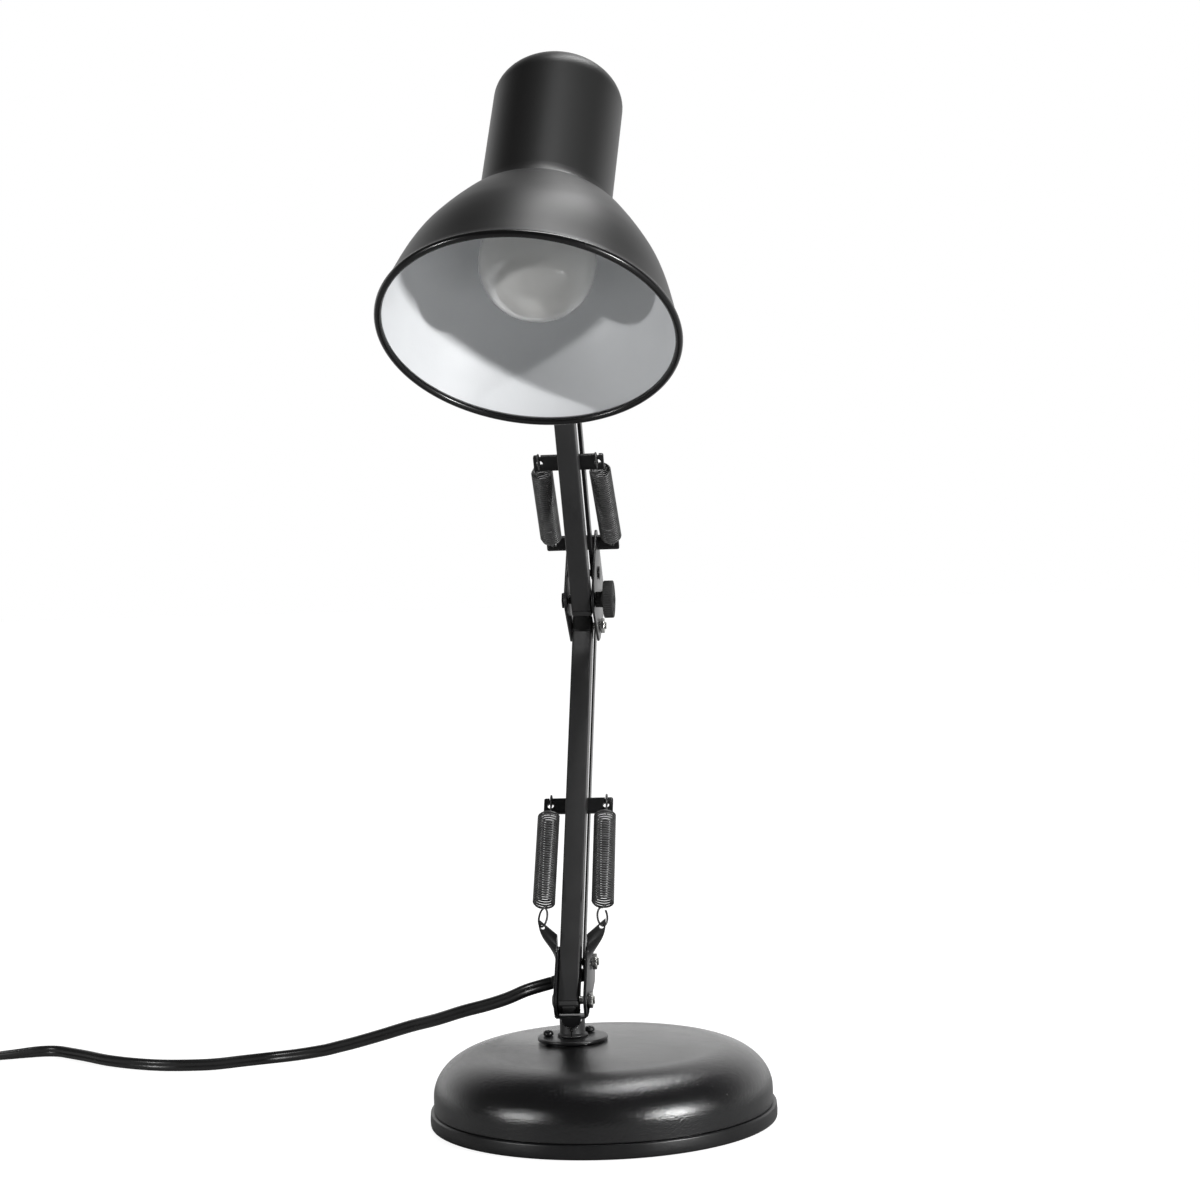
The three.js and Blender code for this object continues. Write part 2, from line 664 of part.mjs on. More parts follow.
function foldedFloor() {
  const outside = PLATE_INSIDE + YOKE_SHEET;
  const shape = new THREE.Shape();
  const inBend = YOKE_BEND_R - YOKE_SHEET;
  const innerFloor = YOKE_FLOOR + YOKE_SHEET;
  const lip = Math.asin((YOKE_BEND_Z - YOKE_FLOOR) / YOKE_BEND_R);
  shape.moveTo(outside, YOKE_LEG_TOP);
  shape.lineTo(PLATE_INSIDE, YOKE_LEG_TOP);
  shape.lineTo(PLATE_INSIDE, innerFloor);
  shape.lineTo(inBend, innerFloor);
  shape.absarc(0, YOKE_BEND_Z, inBend, 0, -Math.PI, true);
  shape.lineTo(-inBend, innerFloor);
  shape.lineTo(-PLATE_INSIDE, innerFloor);
  shape.lineTo(-PLATE_INSIDE, YOKE_LEG_TOP);
  shape.lineTo(-outside, YOKE_LEG_TOP);
  shape.lineTo(-outside, YOKE_FLOOR + YOKE_SHEET / 2);
  shape.lineTo(-outside + YOKE_SHEET / 2, YOKE_FLOOR);
  shape.absarc(0, YOKE_BEND_Z, YOKE_BEND_R, Math.PI + lip, FULL - lip, false);
  shape.lineTo(outside - YOKE_SHEET / 2, YOKE_FLOOR);
  shape.lineTo(outside, YOKE_FLOOR + YOKE_SHEET / 2);
  shape.closePath();
  const settings = { depth: YOKE_STRIP, bevelEnabled: false, curveSegments: ARC_STEPS };
  const geometry = new THREE.ExtrudeGeometry(shape, settings);
  geometry.rotateX(Math.PI / 2);
  geometry.translate(0, SWIVEL_Y + YOKE_STRIP / 2, 0);
  return geometry;
}

function buildYoke() {
  const root = { y: EAR_Y, z: EAR_LOW + EAR_WIDTH / 2, r: EAR_WIDTH / 2 };
  const front = { ...FOOT_PIVOT, r: YOKE_FRONT_R };
  const rear = { ...LOWER_LINK_PIVOT, r: YOKE_REAR_R };
  const cheek = (fromX, extra) => {
    const shape = wrapDiscs([front, ...extra, rear, root]);
    shape.holes.push(roundHole(FOOT_PIVOT.y, FOOT_PIVOT.z, BOLT_R + HOLE_PLAY));
    shape.holes.push(roundHole(LOWER_LINK_PIVOT.y, LOWER_LINK_PIVOT.z, BOLT_R + HOLE_PLAY));
    return sidePlate(shape, YOKE_SHEET, fromX);
  };
  const tab = { y: TAB_Y, z: TAB_Z, r: TAB_R };
  const left = cheek(-PLATE_INSIDE - YOKE_SHEET, []);
  const right = cheek(PLATE_INSIDE, [tab]);
  const whole = join(foldedFloor(), left, right, twistedEar(1), twistedEar(-1));
  const holes = [-1, 1].map((sign) => {
    const hole = rod(EAR_HOLE_R, 4 * OVERRUN, 'y', TINY);
    hole.translate(sign * EAR_HOLE_OUT, EAR_Y - 2 * OVERRUN, EAR_HOLE_Z);
    return hole;
  });
  addMesh(armPlane, 'foot_yoke', cut(whole, ...holes), FINISH.blackSteel);
}

// A pivot bolt across two plates, with its nut on the right, or both as one riveted pin
function buildBolt(name, pivot, outside, riveted) {
  const headEnd = -outside - GAP;
  const nutEnd = outside + GAP;
  const profile = [
    [0, headEnd - BOLT_HEAD_H], [BOLT_HEAD_R / 2, headEnd - BOLT_HEAD_H],
    [BOLT_HEAD_R, headEnd - BOLT_HEAD_H / 2], [BOLT_HEAD_R, headEnd], [BOLT_R, headEnd],
    [BOLT_R, nutEnd + NUT_H + NUT_STUB], [0, nutEnd + NUT_H + NUT_STUB],
  ];
  const bolt = turned(profile, TINY);
  bolt.rotateY(Math.PI / 2);
  bolt.translate(0, pivot.y, pivot.z);
  const nut = hexNut(NUT_ACROSS, riveted ? BOLT_R / 2 : BOLT_R + GAP, NUT_H);
  nut.rotateY(Math.PI / 2);
  nut.translate(nutEnd, pivot.y, pivot.z);
  addMesh(armPlane, `${name}_bolt`, riveted ? join(bolt, nut) : bolt, FINISH.zinc);
  if (!riveted) addMesh(armPlane, `${name}_nut`, nut, FINISH.zinc);
}

// Square arm tube along +Z from its pivot, with its end cap and a crossbar behind it

function squareTube(tail, top, reach) {
  const outline = roundedRect(TUBE_SIDE, TUBE_SIDE, TUBE_EDGE);
  const inside = roundedRect(TUBE_SIDE - 2 * TUBE_WALL, TUBE_SIDE - 2 * TUBE_WALL, TUBE_EDGE / 2);
  outline.holes.push(new THREE.Path(inside.getPoints(1)));
  const tube = new THREE.ExtrudeGeometry(outline, {
    depth: tail + reach + top, bevelEnabled: false, curveSegments: 1,
  });
  tube.translate(0, 0, -tail);
  const holes = [0, reach].map((z) => {
    const hole = rod(BOLT_R + HOLE_PLAY, TUBE_SIDE + OVERRUN, 'x', TINY);
    hole.translate(-(TUBE_SIDE + OVERRUN) / 2, 0, z);
    return hole;
  });
  return cut(tube, ...holes);
}

function endCap(at) {
  const side = TUBE_SIDE + 2 * CAP_PROUD;
  const lip = new THREE.BoxGeometry(side, side, CAP_LIP);
  lip.translate(0, 0, CAP_LIP / 2);
  const nose = new THREE.CylinderGeometry(CAP_NOSE_SIDE / Math.SQRT2, side / Math.SQRT2, CAP_NOSE, 4);
  nose.rotateY(Math.PI / 4);
  nose.rotateX(Math.PI / 2);
  nose.translate(0, 0, CAP_LIP + CAP_NOSE / 2);
  const cap = join(lip, nose);
  cap.rotateX(Math.PI);
  cap.translate(0, 0, at - GAP);
  return cap;
}

function crossbar(length, depth) {
  const shape = roundedRect(length, depth, BAR_CORNER_R);
  const bar = new THREE.ExtrudeGeometry(shape, { depth: BAR_SHEET, bevelEnabled: false, curveSegments: 1 });
  bar.rotateX(Math.PI / 2);
  bar.translate(0, BAR_SHEET / 2, 0);
  const cuts = [-1, 1].flatMap((sign) => {
    const hole = rod(BAR_HOLE_R, BAR_SHEET + OVERRUN, 'y', TINY);
    hole.translate(sign * SPRING_X, -(BAR_SHEET + OVERRUN) / 2, 0);
    const notch = new THREE.BoxGeometry(BAR_NOTCH, BAR_SHEET + OVERRUN, 2 * BAR_NOTCH_DEPTH);
    notch.translate(sign * SPRING_X, 0, depth / 2);
    return [hole, notch];
  });
  return cut(bar, ...cuts);
}

function linkBar(reach) {
  const shape = wrapDiscs([
    { y: 0, z: 0, r: LINK_DEPTH / 2 }, { y: reach, z: 0, r: LINK_DEPTH / 2 },
  ]);
  shape.holes.push(roundHole(0, 0, BOLT_R + HOLE_PLAY));
  shape.holes.push(roundHole(reach, 0, BOLT_R + HOLE_PLAY));
  const bar = sidePlate(shape, LINK_SHEET, LINK_INSIDE);
  bar.rotateX(Math.PI / 2);
  return bar;
}

const BAR_BACK = TUBE_SIDE / 2 + GAP + BAR_SHEET / 2;

function buildArm(name, pivot, lean, reach, tail, top, bar) {
  const arm = new THREE.Group();
  arm.name = `${name}_arm`;
  arm.position.set(0, pivot.y, pivot.z);
  arm.rotation.x = -radians(lean);
  armPlane.add(arm);
  addMesh(arm, `${name}_tube`, squareTube(tail, top, reach), FINISH.greyTube);
  addMesh(arm, `${name}_tube_cap`, endCap(-tail), FINISH.plastic);
  const strip = crossbar(bar.length, BAR_DEPTH);
  strip.translate(0, BAR_BACK, bar.along);
  addMesh(arm, `${name}_crossbar`, strip, FINISH.blackSteel);
}

function buildLink(name, pivot, lean, reach) {
  const link = addMesh(armPlane, name, linkBar(reach), FINISH.blackSteel);
  link.position.set(0, pivot.y, pivot.z);
  link.rotation.x = -radians(lean);
}

// Elbow plates round the four pivots, with the springs' crossbar behind

function buildElbow() {
  const tip = pivotAt(ELBOW_PIVOT, ELBOW_TIP);
  const top = pivotAt(UPPER_PIVOT, ELBOW_BAR);
  const outline = () => {
    const shape = wrapDiscs([
      { ...tip, r: ELBOW_TIP.r }, { ...ELBOW_PIVOT, r: ELBOW_LOW_R },
      { ...ELBOW_LINK_PIVOT, r: ELBOW_REAR_R }, { ...top, r: ELBOW_TOP_R },
      { ...UPPER_PIVOT, r: ELBOW_FRONT_R },
    ]);
    [ELBOW_PIVOT, ELBOW_LINK_PIVOT, UPPER_LINK_PIVOT].forEach(({ y, z }) => {
      shape.holes.push(roundHole(y, z, BOLT_R + HOLE_PLAY));
    });
    shape.holes.push(roundHole(UPPER_PIVOT.y, UPPER_PIVOT.z, STUD_R + HOLE_PLAY));
    return shape;
  };
  const slot = new THREE.BoxGeometry(4 * PLATE_OUTSIDE, BAR_SHEET + 2 * GAP, ELBOW_BAR.depth + 2 * GAP);
  slot.rotateX(radians(UPPER_LEAN));
  slot.translate(0, top.y, top.z);
  const left = sidePlate(outline(), PLATE, -PLATE_OUTSIDE);
  const right = sidePlate(outline(), PLATE, PLATE_INSIDE);
  addMesh(armPlane, 'elbow_plate_left', cut(left, slot), FINISH.blackSteel);
  addMesh(armPlane, 'elbow_plate_right', cut(right, slot), FINISH.blackSteel);
  const strip = crossbar(ELBOW_BAR.length, ELBOW_BAR.depth);
  strip.rotateX(radians(UPPER_LEAN));
  strip.translate(0, top.y, top.z);
  addMesh(armPlane, 'elbow_crossbar', strip, FINISH.blackSteel);
  buildBolt('elbow_lower', ELBOW_PIVOT, PLATE_OUTSIDE, false);
  buildBolt('elbow_rear', ELBOW_LINK_PIVOT, PLATE_OUTSIDE, false);
  buildBolt('elbow_upper', UPPER_LINK_PIVOT, PLATE_OUTSIDE, false);
}

// The friction knob that clamps the upper arm's pivot

function lobedDisc(radius, height, lobes, depth, pointsPerLobe) {
  const shape = new THREE.Shape();
  const count = lobes * pointsPerLobe;
  for (let k = 0; k < count; k += 1) {
    const angle = FULL * k / count;
    const reach = radius - depth / 2 + depth / 2 * Math.cos(lobes * angle);
    const act = k === 0 ? 'moveTo' : 'lineTo';
    shape[act](reach * Math.cos(angle), reach * Math.sin(angle));
  }
  shape.closePath();
  return new THREE.ExtrudeGeometry(shape, { depth: height, bevelEnabled: false });
}

function buildElbowKnob() {
  const seat = PLATE_OUTSIDE + GAP;
  const hub = rod(KNOB_HUB_R, KNOB_HUB_H + KNOB_H / 2, 'z', SMALL);
  const disc = lobedDisc(KNOB_R, KNOB_H, KNOB_LOBES, KNOB_LOBE_DEPTH, 2);
  disc.translate(0, 0, KNOB_HUB_H);
  const nub = rod(KNOB_NUB_R, KNOB_NUB_H + KNOB_H / 2, 'z', TINY);
  nub.translate(0, 0, KNOB_HUB_H + KNOB_H / 2);
  const stud = rod(STUD_R, seat + PLATE_OUTSIDE + GAP + NUT_H + KNOB_HUB_H / 2, 'z', TINY + 2);
  stud.translate(0, 0, -seat - PLATE_OUTSIDE - GAP - NUT_H);
  const knob = join(hub, disc, nub, stud);
  knob.rotateY(Math.PI / 2);
  knob.translate(seat, UPPER_PIVOT.y, UPPER_PIVOT.z);
  addMesh(armPlane, 'elbow_knob', knob, FINISH.plastic);
  const nut = hexNut(NUT_ACROSS + STUD_R / 2, STUD_R + GAP, NUT_H);
  nut.rotateY(Math.PI / 2);
  nut.translate(-PLATE_OUTSIDE - GAP - NUT_H, UPPER_PIVOT.y, UPPER_PIVOT.z);
  addMesh(armPlane, 'elbow_knob_nut', nut, FINISH.zinc);
}

// Extension springs between two hook places, each wound by formula as one wire.
// bow is the side that both hooks go round

function springPoints(from, to, bow) {
  const start = new THREE.Vector3(...from);
  const end = new THREE.Vector3(...to);
  const axis = end.clone().sub(start);
  const length = axis.length();
  axis.normalize();
  const across = new THREE.Vector3(1, 0, 0);
  const normal = axis.clone().cross(across);
  const place = (along, u, v) => start.clone()
    .addScaledVector(axis, along).addScaledVector(across, u).addScaledVector(normal, v);
  const points = [];
  const sweep = radians(HOOK_SWEEP);
  for (let k = 0; k < HOOK_STEPS; k += 1) {
    const angle = Math.PI - sweep + sweep * k / HOOK_STEPS;
    points.push(place(HOOK_R - HOOK_R * Math.cos(angle), 0, bow * HOOK_R * Math.sin(angle)));
  }
  const bodyLow = SPRING_NECK + HOOK_R;
  const bodyLong = length - 2 * bodyLow;
  const turns = SPRING_CURLS;
  const count = turns * CURL_STEPS;
  points.push(place(bodyLow - SPRING_WIRE, 0, 0));
  for (let k = 0; k <= count; k += 1) {
    const angle = FULL * k / CURL_STEPS;
    const near = Math.min(k, count - k) / (CURL_STEPS / 2);
    const radius = SPRING_R * Math.min(1, END_CURL_SHARE + near * (1 - END_CURL_SHARE));
    points.push(place(bodyLow + bodyLong * k / count, radius * Math.cos(angle), radius * Math.sin(angle)));
  }
  points.push(place(length - bodyLow + SPRING_WIRE, 0, 0));
  for (let k = HOOK_STEPS - 1; k >= 0; k -= 1) {
    const angle = Math.PI - sweep + sweep * k / HOOK_STEPS;
    points.push(place(length - HOOK_R + HOOK_R * Math.cos(angle), 0, -bow * HOOK_R * Math.sin(angle)));
  }
  return points;
}

function buildSpring(name, from, to, bow) {
  const points = springPoints(from, to, bow);
  const gap = leastSelfGap(points, SPRING_WIRE, CURL_APART);
  console.log(`${name}: least gap to itself ${gap.toFixed(2)} mm`);
  addMesh(armPlane, name, tubeAlong(points, SPRING_WIRE, SPRING_WIRE, WIRE_SIDES, false), FINISH.springSteel);
}

function barPlace(pivot, lean, along) {
  const sin = Math.sin(radians(lean));
  const cos = Math.cos(radians(lean));
  return {
    y: pivot.y + along * sin + BAR_BACK * cos,
    z: pivot.z + along * cos - BAR_BACK * sin,
  };
}

function buildSprings() {
  const lowerBar = barPlace(FOOT_PIVOT, LOWER_LEAN, LOWER_BAR.along);
  const upperBar = barPlace(UPPER_PIVOT, -UPPER_LEAN, UPPER_BAR.along);
  const elbowBar = pivotAt(UPPER_PIVOT, ELBOW_BAR);
  [['left', -1], ['right', 1]].forEach(([side, sign]) => {
    const x = sign * SPRING_X;
    buildSpring(`lower_spring_${side}`, [x, EAR_Y, EAR_HOLE_Z], [x, lowerBar.y, lowerBar.z], 1);
    buildSpring(`upper_spring_${side}`, [x, elbowBar.y, elbowBar.z], [x, upperBar.y, upperBar.z], -1);
  });
}

// Head bracket, its vertical stud and the swivel barrel

function buildHeadBracket() {
  const webTop = WEB_LOW + PLATE;
  const corner = PLATE * 2;
  const outline = () => {
    const shape = wrapDiscs([
      { ...HEAD_PIVOT, r: HEAD_LOW_R }, { ...HEAD_LINK_PIVOT, r: HEAD_REAR_R },
      { y: WEB_FRONT + corner, z: webTop - corner, r: corner },
    ]);
    [HEAD_PIVOT, HEAD_LINK_PIVOT].forEach(({ y, z }) => {
      shape.holes.push(roundHole(y, z, BOLT_R + HOLE_PLAY));
    });
    return shape;
  };
  const web = new THREE.BoxGeometry(2 * PLATE_OUTSIDE, WEB_BACK - WEB_FRONT - 2 * PLATE, PLATE);
  web.translate(0, (WEB_BACK + WEB_FRONT) / 2, WEB_LOW + PLATE / 2);
  const left = sidePlate(outline(), PLATE, -PLATE_OUTSIDE);
  const right = sidePlate(outline(), PLATE, PLATE_INSIDE);
  const bracket = join(web, left, right);
  const above = new THREE.BoxGeometry(4 * PLATE_OUTSIDE, 2 * (WEB_BACK - WEB_FRONT), 2 * OVERRUN);
  above.translate(0, WEB_FRONT, webTop + OVERRUN);
  const bore = rod(SWIVEL_STUD_R + HOLE_PLAY, PLATE + OVERRUN, 'z', SMALL);
  bore.translate(0, HEAD_SWIVEL_Y, WEB_LOW - OVERRUN / 2);
  addMesh(armPlane, 'head_bracket', cut(bracket, above, bore), FINISH.blackSteel);

  const barrelLow = webTop + GAP;
  const studLow = WEB_LOW - GAP - STUD_HEAD_H;
  const nutLow = barrelLow + BARREL_H + GAP;
  const studTop = nutLow + STUD_NUT_H + NUT_STUB;
  const stud = turned([
    [0, studLow], [STUD_HEAD_R, studLow], [STUD_HEAD_R, studLow + STUD_HEAD_H],
    [SWIVEL_STUD_R, studLow + STUD_HEAD_H], [SWIVEL_STUD_R, studTop], [0, studTop],
  ], SMALL);
  const nut = hexNut(STUD_NUT_ACROSS, SWIVEL_STUD_R / 2, STUD_NUT_H);
  nut.translate(0, 0, nutLow);
  const whole = join(stud, nut);
  whole.translate(0, HEAD_SWIVEL_Y, 0);
  addMesh(armPlane, 'head_stud', whole, FINISH.zinc);
  buildBolt('head_front', HEAD_PIVOT, PLATE_OUTSIDE, true);
  buildBolt('head_rear', HEAD_LINK_PIVOT, PLATE_OUTSIDE, true);
}

// The head group turns with the shade: x across its own plane, y back along it
const head = new THREE.Group();
head.name = 'head';
head.position.set(0, HEAD_SWIVEL_Y, 0);
head.rotation.z = -radians(SHADE_YAW);
armPlane.add(head);

// Place of the shade's rim centre in the head group
const rimOffset = new THREE.Vector3(SHADE_HANG.x, SHADE_HANG.y, 0)
  .applyAxisAngle(new THREE.Vector3(0, 0, 1), radians(SHADE_YAW));
const STRAP_X = rimOffset.x;

function buildSwivelBarrel() {
  const low = WEB_LOW + PLATE + GAP;
  const barrel = rod(BARREL_R, BARREL_H, 'z', SMALL + TINY);
  barrel.translate(0, 0, low);
  const arm = rod(TILT_BOSS_R, STRAP_X - STRAP_SHEET / 2 - GAP, 'x', SMALL);
  arm.translate(0, 0, TILT_Z);
  const pinLong = STRAP_X + STRAP_SHEET / 2 + GAP + TILT_KNOB_H / 2;
  const pin = rod(TILT_PIN_R, pinLong, 'x', SMALL);
  pin.translate(0, 0, TILT_Z);
  const bore = rod(SWIVEL_STUD_R + HOLE_PLAY, BARREL_H + OVERRUN, 'z', SMALL);
  bore.translate(0, 0, low - OVERRUN / 2);
  const solid = cut(join(barrel, arm, pin), bore);
  addMesh(head, 'swivel_barrel', solid, FINISH.blackSteel);
}

function buildTiltKnob() {
  const seat = STRAP_X + STRAP_SHEET / 2 + GAP;
  const knob = lobedDisc(TILT_KNOB_R, TILT_KNOB_H, TILT_LOBES, TILT_LOBE_DEPTH, 5);
  const bore = rod(TILT_PIN_R + HOLE_PLAY, TILT_KNOB_H / 2 + GAP + OVERRUN, 'z', SMALL);
  bore.translate(0, 0, -OVERRUN);
  const solid = cut(knob, bore);
  solid.rotateY(Math.PI / 2);
  solid.translate(seat, 0, TILT_Z);
  addMesh(head, 'tilt_knob', solid, FINISH.plastic);
}

// Shade and everything that tilts with it, drawn along +Z from the rim's centre
const shade = new THREE.Group();
shade.name = 'shade_axis';
shade.position.set(STRAP_X, rimOffset.y, TILT_Z + SHADE_HANG.z);
shade.rotation.x = -radians(SHADE_TILT);
head.add(shade);

const bellRadius = (s) => BELL_FOOT_R
  + (RIM_R - BELL_FOOT_R) * Math.max(0, 1 - (s / BELL_H) ** BELL_RISE) ** (1 / BELL_ROUND);

const BELL_SHARES = [0, 0.15, 0.34, 0.54, 0.72, 0.86, 0.96, 1];
const BELL_INNER_SHARES = [0, 0.3, 0.62, 0.88, 1];

function shadeProfile(inset, bellShares, domeSteps) {
  const profile = [];
  bellShares.forEach((share) => profile.push([bellRadius(BELL_H * share) - inset, BELL_H * share]));
  profile.push([NECK_R - inset, BELL_H + (BELL_FOOT_R - NECK_R)]);
  const domeLow = SHADE_L - DOME_CAP_H;
  profile.push([NECK_R - inset, domeLow]);
  for (let k = 1; k < domeSteps; k += 1) {
    const angle = Math.PI / 2 * k / domeSteps;
    const radius = (NECK_R - inset) * Math.cos(angle) ** DOME_CAP_ROUND;
    profile.push([radius, domeLow + (DOME_CAP_H - inset) * Math.sin(angle)]);
  }
  profile.push([0, SHADE_L - inset]);
  return profile;
}

// Place of the tilt pin and of the neck's back, in the shade's own frame
const tiltInShade = new THREE.Vector3(0, -rimOffset.y, -SHADE_HANG.z)
  .applyAxisAngle(new THREE.Vector3(1, 0, 0), radians(SHADE_TILT));

function buildShade() {
  const outer = shadeProfile(0, BELL_SHARES, ARC_STEPS + 1);
  const inner = shadeProfile(SHADE_WALL, BELL_INNER_SHARES, INNER_STEPS);
  inner[0][1] = 0;
  const bead = [
    [RIM_R - SHADE_WALL, -RIM_BEAD_R / 2], [RIM_R, -RIM_BEAD_R],
    [RIM_R + RIM_BEAD_R, 0], [RIM_R + RIM_BEAD_R / 2, RIM_BEAD_R],
  ];
  const profile = [...inner.reverse(), ...bead, ...outer.slice(1)];
  const shell = turned(profile, FINE);
  const switchHole = rod(SWITCH_R + HOLE_PLAY, NECK_R, 'y', SMALL);
  switchHole.translate(0, NECK_R / 2, SWITCH_S);
  const nippleHole = rod(NIPPLE_R + HOLE_PLAY, DOME_CAP_H, 'z', SMALL);
  nippleHole.translate(0, 0, SHADE_L - DOME_CAP_H / 2);
  addMesh(shade, 'shade', cut(shell, switchHole, nippleHole), FINISH.shadePaint);
}

function buildStrap() {
  const seat = NECK_R + GAP;
  const reachY = tiltInShade.y;
  const s = tiltInShade.z;
  const shape = wrapDiscs([
    { y: seat + STRAP_FOOT_SHEET, z: s - STRAP_DEPTH / 2 + STRAP_EDGE_R, r: STRAP_EDGE_R },
    { y: reachY, z: s, r: STRAP_DEPTH / 2 },
    { y: seat + STRAP_FOOT_SHEET, z: s + STRAP_DEPTH / 2 - STRAP_EDGE_R, r: STRAP_EDGE_R },
  ]);
  const web = sidePlate(shape, STRAP_SHEET, -STRAP_SHEET / 2);
  const foot = turnedRing([
    [seat, s - STRAP_FOOT / 2], [seat + STRAP_FOOT_SHEET, s - STRAP_FOOT / 2],
    [seat + STRAP_FOOT_SHEET, s + STRAP_FOOT / 2], [seat, s + STRAP_FOOT / 2],
  ], FINE);
  const sideCut = new THREE.BoxGeometry(4 * NECK_R, 4 * NECK_R, 2 * STRAP_FOOT);
  sideCut.translate(0, NECK_R * STRAP_FOOT_SHARE - 2 * NECK_R, s);
  const eye = rod(TILT_PIN_R + HOLE_PLAY, STRAP_SHEET + OVERRUN, 'x', SMALL);
  eye.translate(-(STRAP_SHEET + OVERRUN) / 2, reachY, s);
  addMesh(shade, 'shade_strap', cut(join(web, cut(foot, sideCut)), eye), FINISH.blackSteel);
}

function buildBulb() {
  const globe = [[0, BULB_S - BULB_R]];
  const steps = TINY - 1;
  const throat = Math.acos((BULB_NECK_R + BULB_R * BULB_THROAT_SHARE) / BULB_R);
  for (let k = 1; k <= steps; k += 1) {
    const angle = -Math.PI / 2 + (Math.PI / 2 + throat) * k / steps;
    globe.push([BULB_R * Math.cos(angle), BULB_S + BULB_R * Math.sin(angle)]);
  }
  globe.push([BULB_NECK_R, HOLDER_LOW - GAP], [0, HOLDER_LOW - GAP]);
  addMesh(shade, 'bulb_globe', turned(globe, ROUND), FINISH.opal);
  const cap = [
    [0, HOLDER_LOW], [BULB_CAP_R, HOLDER_LOW], [BULB_CAP_R, BULB_CAP_TOP - BULB_CAP_TIP_R / 2],
    [BULB_CAP_TIP_R, BULB_CAP_TOP], [0, BULB_CAP_TOP],
  ];
  addMesh(shade, 'bulb_cap', turned(cap, SMALL), FINISH.zinc);
}

function buildHolder() {
  const body = turned([
    [0, HOLDER_FLOOR], [HOLDER_BORE_R, HOLDER_FLOOR], [HOLDER_BORE_R, HOLDER_LOW], [HOLDER_LIP_R, HOLDER_LOW],
    [HOLDER_LIP_R, HOLDER_LOW + HOLDER_LIP_H], [HOLDER_R, HOLDER_LOW + HOLDER_LIP_H], [HOLDER_R, HOLDER_TOP],
    [HOLDER_R / 2, HOLDER_TOP + HOLDER_LIP_H], [0, HOLDER_TOP + HOLDER_LIP_H],
  ], SMALL + ARC_STEPS);
  addMesh(shade, 'lampholder', body, FINISH.plastic);
  const nippleLow = HOLDER_TOP + HOLDER_LIP_H + GAP;
  const nippleTop = SHADE_L + NIPPLE_STUB;
  const nipple = rod(NIPPLE_R, nippleTop - nippleLow, 'z', SMALL);
  nipple.translate(0, 0, nippleLow);
  addMesh(shade, 'holder_nipple', nipple, FINISH.zinc);
}

function buildSwitch() {
  const collarIn = NECK_R + GAP;
  const body = turned([
    [0, NECK_R + SWITCH_COLLAR_H - SWITCH_BODY_L], [SWITCH_R, NECK_R + SWITCH_COLLAR_H - SWITCH_BODY_L],
    [SWITCH_R, collarIn], [SWITCH_COLLAR_R, collarIn], [SWITCH_COLLAR_R, collarIn + SWITCH_COLLAR_H],
    [BUTTON_R + HOLE_PLAY, collarIn + SWITCH_COLLAR_H],
    [BUTTON_R + HOLE_PLAY, collarIn + SWITCH_COLLAR_H - BUTTON_IN],
    [0, collarIn + SWITCH_COLLAR_H - BUTTON_IN],
  ], SMALL);
  body.rotateX(-Math.PI / 2);
  body.translate(0, 0, SWITCH_S);
  addMesh(shade, 'switch_body', body, FINISH.plastic);
  const low = collarIn + SWITCH_COLLAR_H - BUTTON_IN / 2 + GAP;
  const button = rod(BUTTON_R, BUTTON_OUT + BUTTON_IN / 2, 'y', SMALL);
  button.translate(0, low, SWITCH_S);
  addMesh(shade, 'switch_button', button, FINISH.plastic);
}

// Cord: strain relief, free stretch, stretch on the table, coil with its tie, and the plug

const coilHeading = () => new THREE.Vector3(Math.sin(radians(COIL_START)), -Math.cos(radians(COIL_START)), 0);

function coilPoints() {
  const points = [];
  const half = COIL_TURNS / 2;
  const count = COIL_TURNS * COIL_STEPS;
  const start = radians(COIL_START);
  for (let k = 0; k <= count; k += 1) {
    const turn = k / COIL_STEPS;
    const inward = turn <= half;
    const radius = inward ? COIL_OUT_R - COIL_PITCH * turn : COIL_OUT_R - COIL_PITCH * (COIL_TURNS - turn);
    const climb = Math.min(1, Math.max(0, (turn - half) / COIL_CLIMB + 1 / 2));
    const smooth = climb * climb * (3 - 2 * climb);
    const angle = start - FULL * turn;
    points.push(new THREE.Vector3(
      COIL_CENTRE.x + radius * Math.cos(angle),
      COIL_CENTRE.y + radius * Math.sin(angle),
      COIL_LIFT + COIL_LAYER * smooth));
  }
  const heading = coilHeading();
  const last = points[points.length - 1];
  const shares = Array.from({ length: TAIL_STEPS }, (_, k) => (k + 1) / TAIL_STEPS);
  const tail = [
    ...shares.map((share) => TAIL_HOLD * share),
    ...shares.map((share) => TAIL_HOLD + TAIL_DROP * share),
    TAIL_HOLD + TAIL_DROP + TAIL_END,
  ];
  tail.forEach((reach) => {
    const fall = Math.min(1, Math.max(0, (reach - TAIL_HOLD) / TAIL_DROP));
    const smooth = fall * fall * (3 - 2 * fall);
    const point = last.clone().addScaledVector(heading, reach);
    point.z = last.z + (PLUG_THICK / 2 - last.z) * smooth;
    points.push(point);
  });
  return points;
}

const routeLength = (points) => points.slice(1).reduce((sum, p, i) => sum + p.distanceTo(points[i]), 0);

// A hand-chosen route, smoothed and stepped evenly
function routePoints(route, steps) {
  const places = route.map((p) => new THREE.Vector3(...p));
  return new THREE.CatmullRomCurve3(places, false, 'centripetal').getSpacedPoints(steps);
}

